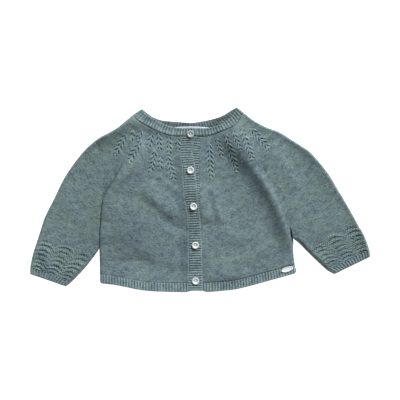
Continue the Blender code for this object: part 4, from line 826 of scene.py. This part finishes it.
last = len(NECK_LOW) - 1
parts = zip(neck_stretch(NECK_LOW, NECK_TOP, row_at(NECK_LOW, UPPER_NECK_END), 0, False, True),
            neck_stretch(BACK_NECK_LOW, BACK_NECK_TOP, 0, last, True, True),
            neck_stretch(NECK_LOW, NECK_TOP, last, row_at(NECK_LOW, LOWER_NECK_END), True, False))
level, relief, tone, wales, courses, thick = (
    np.concatenate([right, behind[:, 1:-1], left], axis=1) for right, behind, left in parts)
neckband = ribbed("neck_rib", "neckband", level, relief, thick, wales, courses, tone, rib_knit, 2)


# ------------------
# Button bands: knitted sideways, so their ribs run across. The upper one has an edge like a cord
# and four of the five round buttonholes; the first is in the neckband.
BAND_PITCH = 3.6
UPPER_FREE = places(
    -3.9, 92.2, -9.9, 78.3, -10.3, 63.8, -6.8, 50.8, -5.1, 29, -3.5, 5.8, 0.3, -24.7, 2.6, -58,
    3.6, -94.3, 4.2, -119.6, 4.4, -131.5)
LOWER_FREE = places(-19, 92.2, -18, 40, -15.4, -24.7, -15.2, -119.6, -15.2, -131.5)
BUTTONS = places(-13.8, 95.7, -13.8, 43.1, -9.3, -9.7, -6.7, -65.8, -6.4, -117.7)
HOLE_RADIUS = 1.95
CORD_RISE = 0.45

band_knit = knit_look("band rib", (0.145, 0.205, 0.222), (0.153, 0.209, 0.214), 0.9)


def band(name, node, left_line, right_line, level, cord_at_right):
    """A band row by row from the neckband down, 16 columns wide; `level` is what it lies on."""
    length = lengths(stretch(left_line, even(50)))[-1]
    shares, rib, wales = ridges(length, BAND_PITCH)
    left, right = stretch(left_line, shares), stretch(right_line, shares)
    across = np.tile(even(17), (len(shares), 1))
    top = between(NECK_LOW, left[0, 0], right[0, 0], -NECK_GAP)
    left[0], right[0] = top(np.array([0, 1]))
    grid = plan(left, right, across, top)
    width = breadth(left, right)
    to_left, down = across * width, (shares * length)[:, None]
    end = ease((length - down) / CHAIN_DEPTH) * ease(down)
    free = (1 - across) * width if cord_at_right else to_left
    cord = np.exp(-((free - 1.2) / 0.9)**2) * (0.8 + 0.2 * np.cos(2 * np.pi * down / 2.4))
    beside = ease((free - 1.4) / 1.4)
    rib = rib[:, None] * end * beside
    relief = RIB_RISE * rib + CORD_RISE * cord
    # Painted light and shade: ridges and the cord are made lighter, grooves darker.
    tone = 0.5 + (rib - 0.5) * 0.95 * beside + 0.35 * cord
    base = raised(grid, SETTLED + swells(grid) + level + RIB_THICK - 0.6 * (1 - rounding(free, 1)))
    return ribbed(name, node, base, relief, RIB_THICK - 0.1, wales[:, None], to_left / COURSE, tone,
                  band_knit)


def tube(rings, steps):
    """Faces of a stack of rings of points, closed at both ends."""
    i, j = np.arange(steps), np.roll(np.arange(steps), -1)
    sides = [np.stack([i, j, j + steps, i + steps], axis=1) + k * steps for k in range(rings - 1)]
    return np.concatenate(sides).tolist() + [i[::-1].tolist(), (i + (rings - 1) * steps).tolist()]


def punch(piece, x, y, radius):
    """A round hole through a piece: an upright cylinder taken out of it."""
    angle = np.linspace(0, 2 * np.pi, 25)[:-1]
    ring = np.stack([x + radius * np.cos(angle), y + radius * np.sin(angle)], axis=1)
    points = np.concatenate([np.c_[ring, np.full(24, height)] for height in (-5, 30)])
    mesh = bpy.data.meshes.new("punch")
    mesh.from_pydata(points * 0.001, [], tube(2, 24))
    tool = link("punch", mesh)
    cut = piece.modifiers.new("hole", "BOOLEAN")
    cut.operation, cut.solver, cut.object = "DIFFERENCE", "EXACT", tool
    graph = bpy.context.evaluated_depsgraph_get()
    carved = bpy.data.meshes.new_from_object(
        piece.evaluated_get(graph), preserve_all_data_layers=True, depsgraph=graph)
    piece.modifiers.clear()
    piece.data = carved
    bpy.data.objects.remove(tool)


lower_line = [(x - SEAM, y) for x, y in LOWER_SEAM]
button_band = band("under_band", "button_band", LOWER_FREE, lower_line, 0, False)
buttonhole_band = band("top_band", "buttonhole_band", UPPER_SEAM, UPPER_FREE, BAND_STEP, True)
for number, (x, y) in enumerate(BUTTONS):
    punch(neckband if number == 0 else buttonhole_band, x, y, HOLE_RADIUS)


# ------------------
# Buttons: turned from pearly shell, with a rounded rim, a dished middle and two holes, sewn on
# with white thread.
BUTTON_RADIUS, BUTTON_HEIGHT, BUTTON_DISH = 5.2, 2.4, 0.3
BUTTON_HOLE, BUTTON_HOLE_PLACE = 0.75, 1.3
RIB_TOP = SETTLED + RIB_THICK + RIB_RISE  # of a layer of rib, but for the swells
THREAD_RADIUS, THREAD_APART, THREAD_STEPS = 0.3, 0.28, 25


def plain_look(name, colour, roughness, coat=0, mottle=0, scale=90, bump=0):
    """A surface whose colour mottles a little; with a bump it is woven of fine threads."""
    look, start = material(name, {"Roughness": roughness, "Coat Weight": coat})
    place = start.node("TexCoord", out=3)
    noise = start.node("TexNoise", None, {"Vector": place, "Scale": scale, "Detail": 3})
    start.node("HueSaturation", None, {
        "Value": 1 + (noise - 0.5) * mottle, "Color": (*colour, 1)}).into("Base Color")
    if bump:
        across = start.node("SeparateXYZ", None, {0: place}, 1)
        start.node("Bump", None, {
            "Strength": bump, "Distance": 0.0002, "Height": (across * 9000).sine()}).into("Normal")
    return look


def turned(name, outline, look, centre, steps=64, stretched=(1, 1), turn=0):
    """A solid of revolution from radii and heights, bottom to top, stretched across and turned."""
    angle = np.linspace(0, 2 * np.pi, steps + 1)[:-1]
    ring = np.stack([np.cos(angle), np.sin(angle)], axis=1) * stretched
    ring = ring @ np.array([[np.cos(turn), np.sin(turn)], [-np.sin(turn), np.cos(turn)]])
    points = np.concatenate([np.c_[ring * radius, np.full(steps, height)] for radius, height in outline])
    return add_piece(name, points + centre, tube(len(outline), steps), look)


def arc(radius, height, size, first, last, count=6):
    """Radii and heights round an edge, between two angles in degrees."""
    angle = np.radians(np.linspace(first, last, count))
    return [(radius + size * np.cos(a), height + size * np.sin(a)) for a in angle]


def strand(path, shift, rounds=10):
    """Points of a thread along a path of one y, moved aside by `shift`."""
    beside = np.array([0, 1, 0])
    turn = np.linspace(0, 2 * np.pi, rounds + 1)[:-1, None]
    points = []
    for k, centre in enumerate(path):
        tangent = path[min(k + 1, len(path) - 1)] - path[max(k - 1, 0)]
        over = np.cross(tangent / norm(tangent), beside)
        ring = THREAD_RADIUS * (np.cos(turn) * beside + np.sin(turn) * over)
        points.append(centre + (0, shift, 0) + ring)
    return np.concatenate(points)


shell = plain_look("pearl shell", (0.68, 0.745, 0.75), 0.4, 0.15, 0.25, 260)
# The first button, in the neckband, gets the same shell painted darker: painted shade.
shaded_shell = plain_look("shaded shell", (0.40, 0.45, 0.45), 0.4, 0.15, 0.3, 260)
cotton = plain_look("cotton thread", (0.66, 0.72, 0.72), 0.85)
floor_height = BUTTON_HEIGHT - BUTTON_DISH  # of the dished middle
outline = (arc(BUTTON_RADIUS - 0.7, 0.7, 0.7, -90, 0)
           + arc(BUTTON_RADIUS - 0.9, BUTTON_HEIGHT - 0.9, 0.9, 0, 90)
           + arc(BUTTON_RADIUS - 1.3, floor_height, BUTTON_DISH, 90, 180) + [(0.3, floor_height)])
for number, (x, y) in enumerate(BUTTONS, start=1):
    level = float(swells(np.array([[x, y]]))[0])
    seat = RIB_TOP + 0.2 + BAND_STEP + level
    # the first button's shell is painted darker as shade
    look = shaded_shell if number == 1 else shell
    button = turned(f"shell_{number}", outline, look, (x, y, seat))
    for side in (-1, 1):
        punch(button, x + side * BUTTON_HOLE_PLACE, y, BUTTON_HOLE)
    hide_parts(f"button_{number}")
    along = even(THREAD_STEPS)
    low, high = RIB_TOP + level + 0.3, seat + floor_height + 0.45
    path = np.stack([BUTTON_HOLE_PLACE * np.clip(-np.cos(np.pi * along) * 1.35, -1, 1), 0 * along,
                     low + (high - low) * np.sqrt(np.sin(np.pi * along).clip(0))], axis=1)
    strands = [strand(path, shift) for shift in (-THREAD_APART, THREAD_APART)]
    faces = tube(THREAD_STEPS, 10)
    faces += [[i + len(strands[0]) for i in face] for face in faces]
    sewing = add_piece(f"sewing_{number}", np.concatenate(strands) + (x, y, 0), faces, cotton)
    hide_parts(f"button_thread_{number}")


# ------------------
# Neck label: a bare strip of woven satin inside the back of the neckband, hemmed all round.
LABEL_SIZE = (54, 14, 0.4)
LABEL_BOTTOM = NECK_THICK_BACK + 1
LABEL_ARCH, LABEL_HEM = 1.6, 1.6  # how far its ends hang, and the width of its hem

satin = plain_look("satin", (0.66, 0.69, 0.82), 0.5, 0, 0.12, 700, bump=0.3)
x, y = np.meshgrid(np.linspace(-0.5, 0.5, 41) * LABEL_SIZE[0], np.linspace(0.5, -0.5, 17) * LABEL_SIZE[1])
border = np.minimum(LABEL_SIZE[0] / 2 - np.abs(x), LABEL_SIZE[1] / 2 - np.abs(y))
place = np.stack([x, y - LABEL_ARCH * (2 * x / LABEL_SIZE[0])**2], axis=2) + LABEL_PLACE
share = 0.55 + 0.45 * ease((LABEL_HEM - border) / 0.8) * ease(border / 0.4)
label = cloth("label_strip", "neck_label", raised(place, LABEL_BOTTOM + LABEL_SIZE[2] * share), 0,
              raised(place, LABEL_BOTTOM)[::4, ::4], place, 0.5, satin)


# ------------------
# Badge: a bare oval of pale enamel with a raised rim.
BADGE_LENGTH, BADGE_WIDTH, BADGE_HEIGHT = 17.7, 7.3, 1.1
BADGE_PLACE, BADGE_TURN = (126.4, -100.6), 17

enamel = plain_look("enamel", (0.78, 0.84, 0.85), 0.35, 0.2, 0.3, 300)
level = float(swells(np.array([BADGE_PLACE]))[0])
outline = [(0.92, 0), (0.97, 0.12), (1, 0.35), (1, 0.65), (0.97, 0.9), (0.93, 1), (0.87, 0.98),
           (0.82, 0.8), (0.78, 0.7), (0.2, 0.72)]
badge = turned("oval", [(radius, height * BADGE_HEIGHT) for radius, height in outline], enamel,
               (*BADGE_PLACE, RIB_TOP + level + 0.1),
               stretched=(BADGE_LENGTH / 2, BADGE_WIDTH / 2), turn=np.radians(BADGE_TURN))
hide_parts("badge")


# ------------------
# White floor, a low and soft light from the upper right, and the camera straight above.
SUN_TURN, SUN_HEIGHT, SUN_SPREAD = 61, 36, 25  # degrees
SUN_STRENGTH, SKY = 4.3, 0.23

white, _ = material("white floor", {"Base Color": (0.7, 0.7, 0.7, 1), "Roughness": 1,
                                    "Emission Color": (1, 1, 1, 1), "Emission Strength": 0.95})
mesh = bpy.data.meshes.new("floor")
mesh.from_pydata([(-1, -1, 0), (1, -1, 0), (1, 1, 0), (-1, 1, 0)], [], [(0, 1, 2, 3)])
mesh.materials.append(white)
floor = link("floor", mesh)

lamp = bpy.data.lights.new("sun", "SUN")
lamp.energy, lamp.angle = SUN_STRENGTH, np.radians(SUN_SPREAD)
sun = link("sun", lamp)
sun.rotation_euler = (0, np.radians(90 - SUN_HEIGHT), np.radians(SUN_TURN))

world = bpy.data.worlds.new("sky")
world.use_nodes = True
world.node_tree.nodes["Background"].inputs["Color"].default_value = (SKY, SKY, SKY, 1)
bpy.context.scene.world = world

lens = bpy.data.cameras.new("camera")
lens.type, lens.ortho_scale = "ORTHO", 0.58
camera = link("camera", lens)
camera.location = (0, 0, 1)
bpy.context.scene.camera = camera
bpy.context.scene.view_settings.view_transform = "Standard"
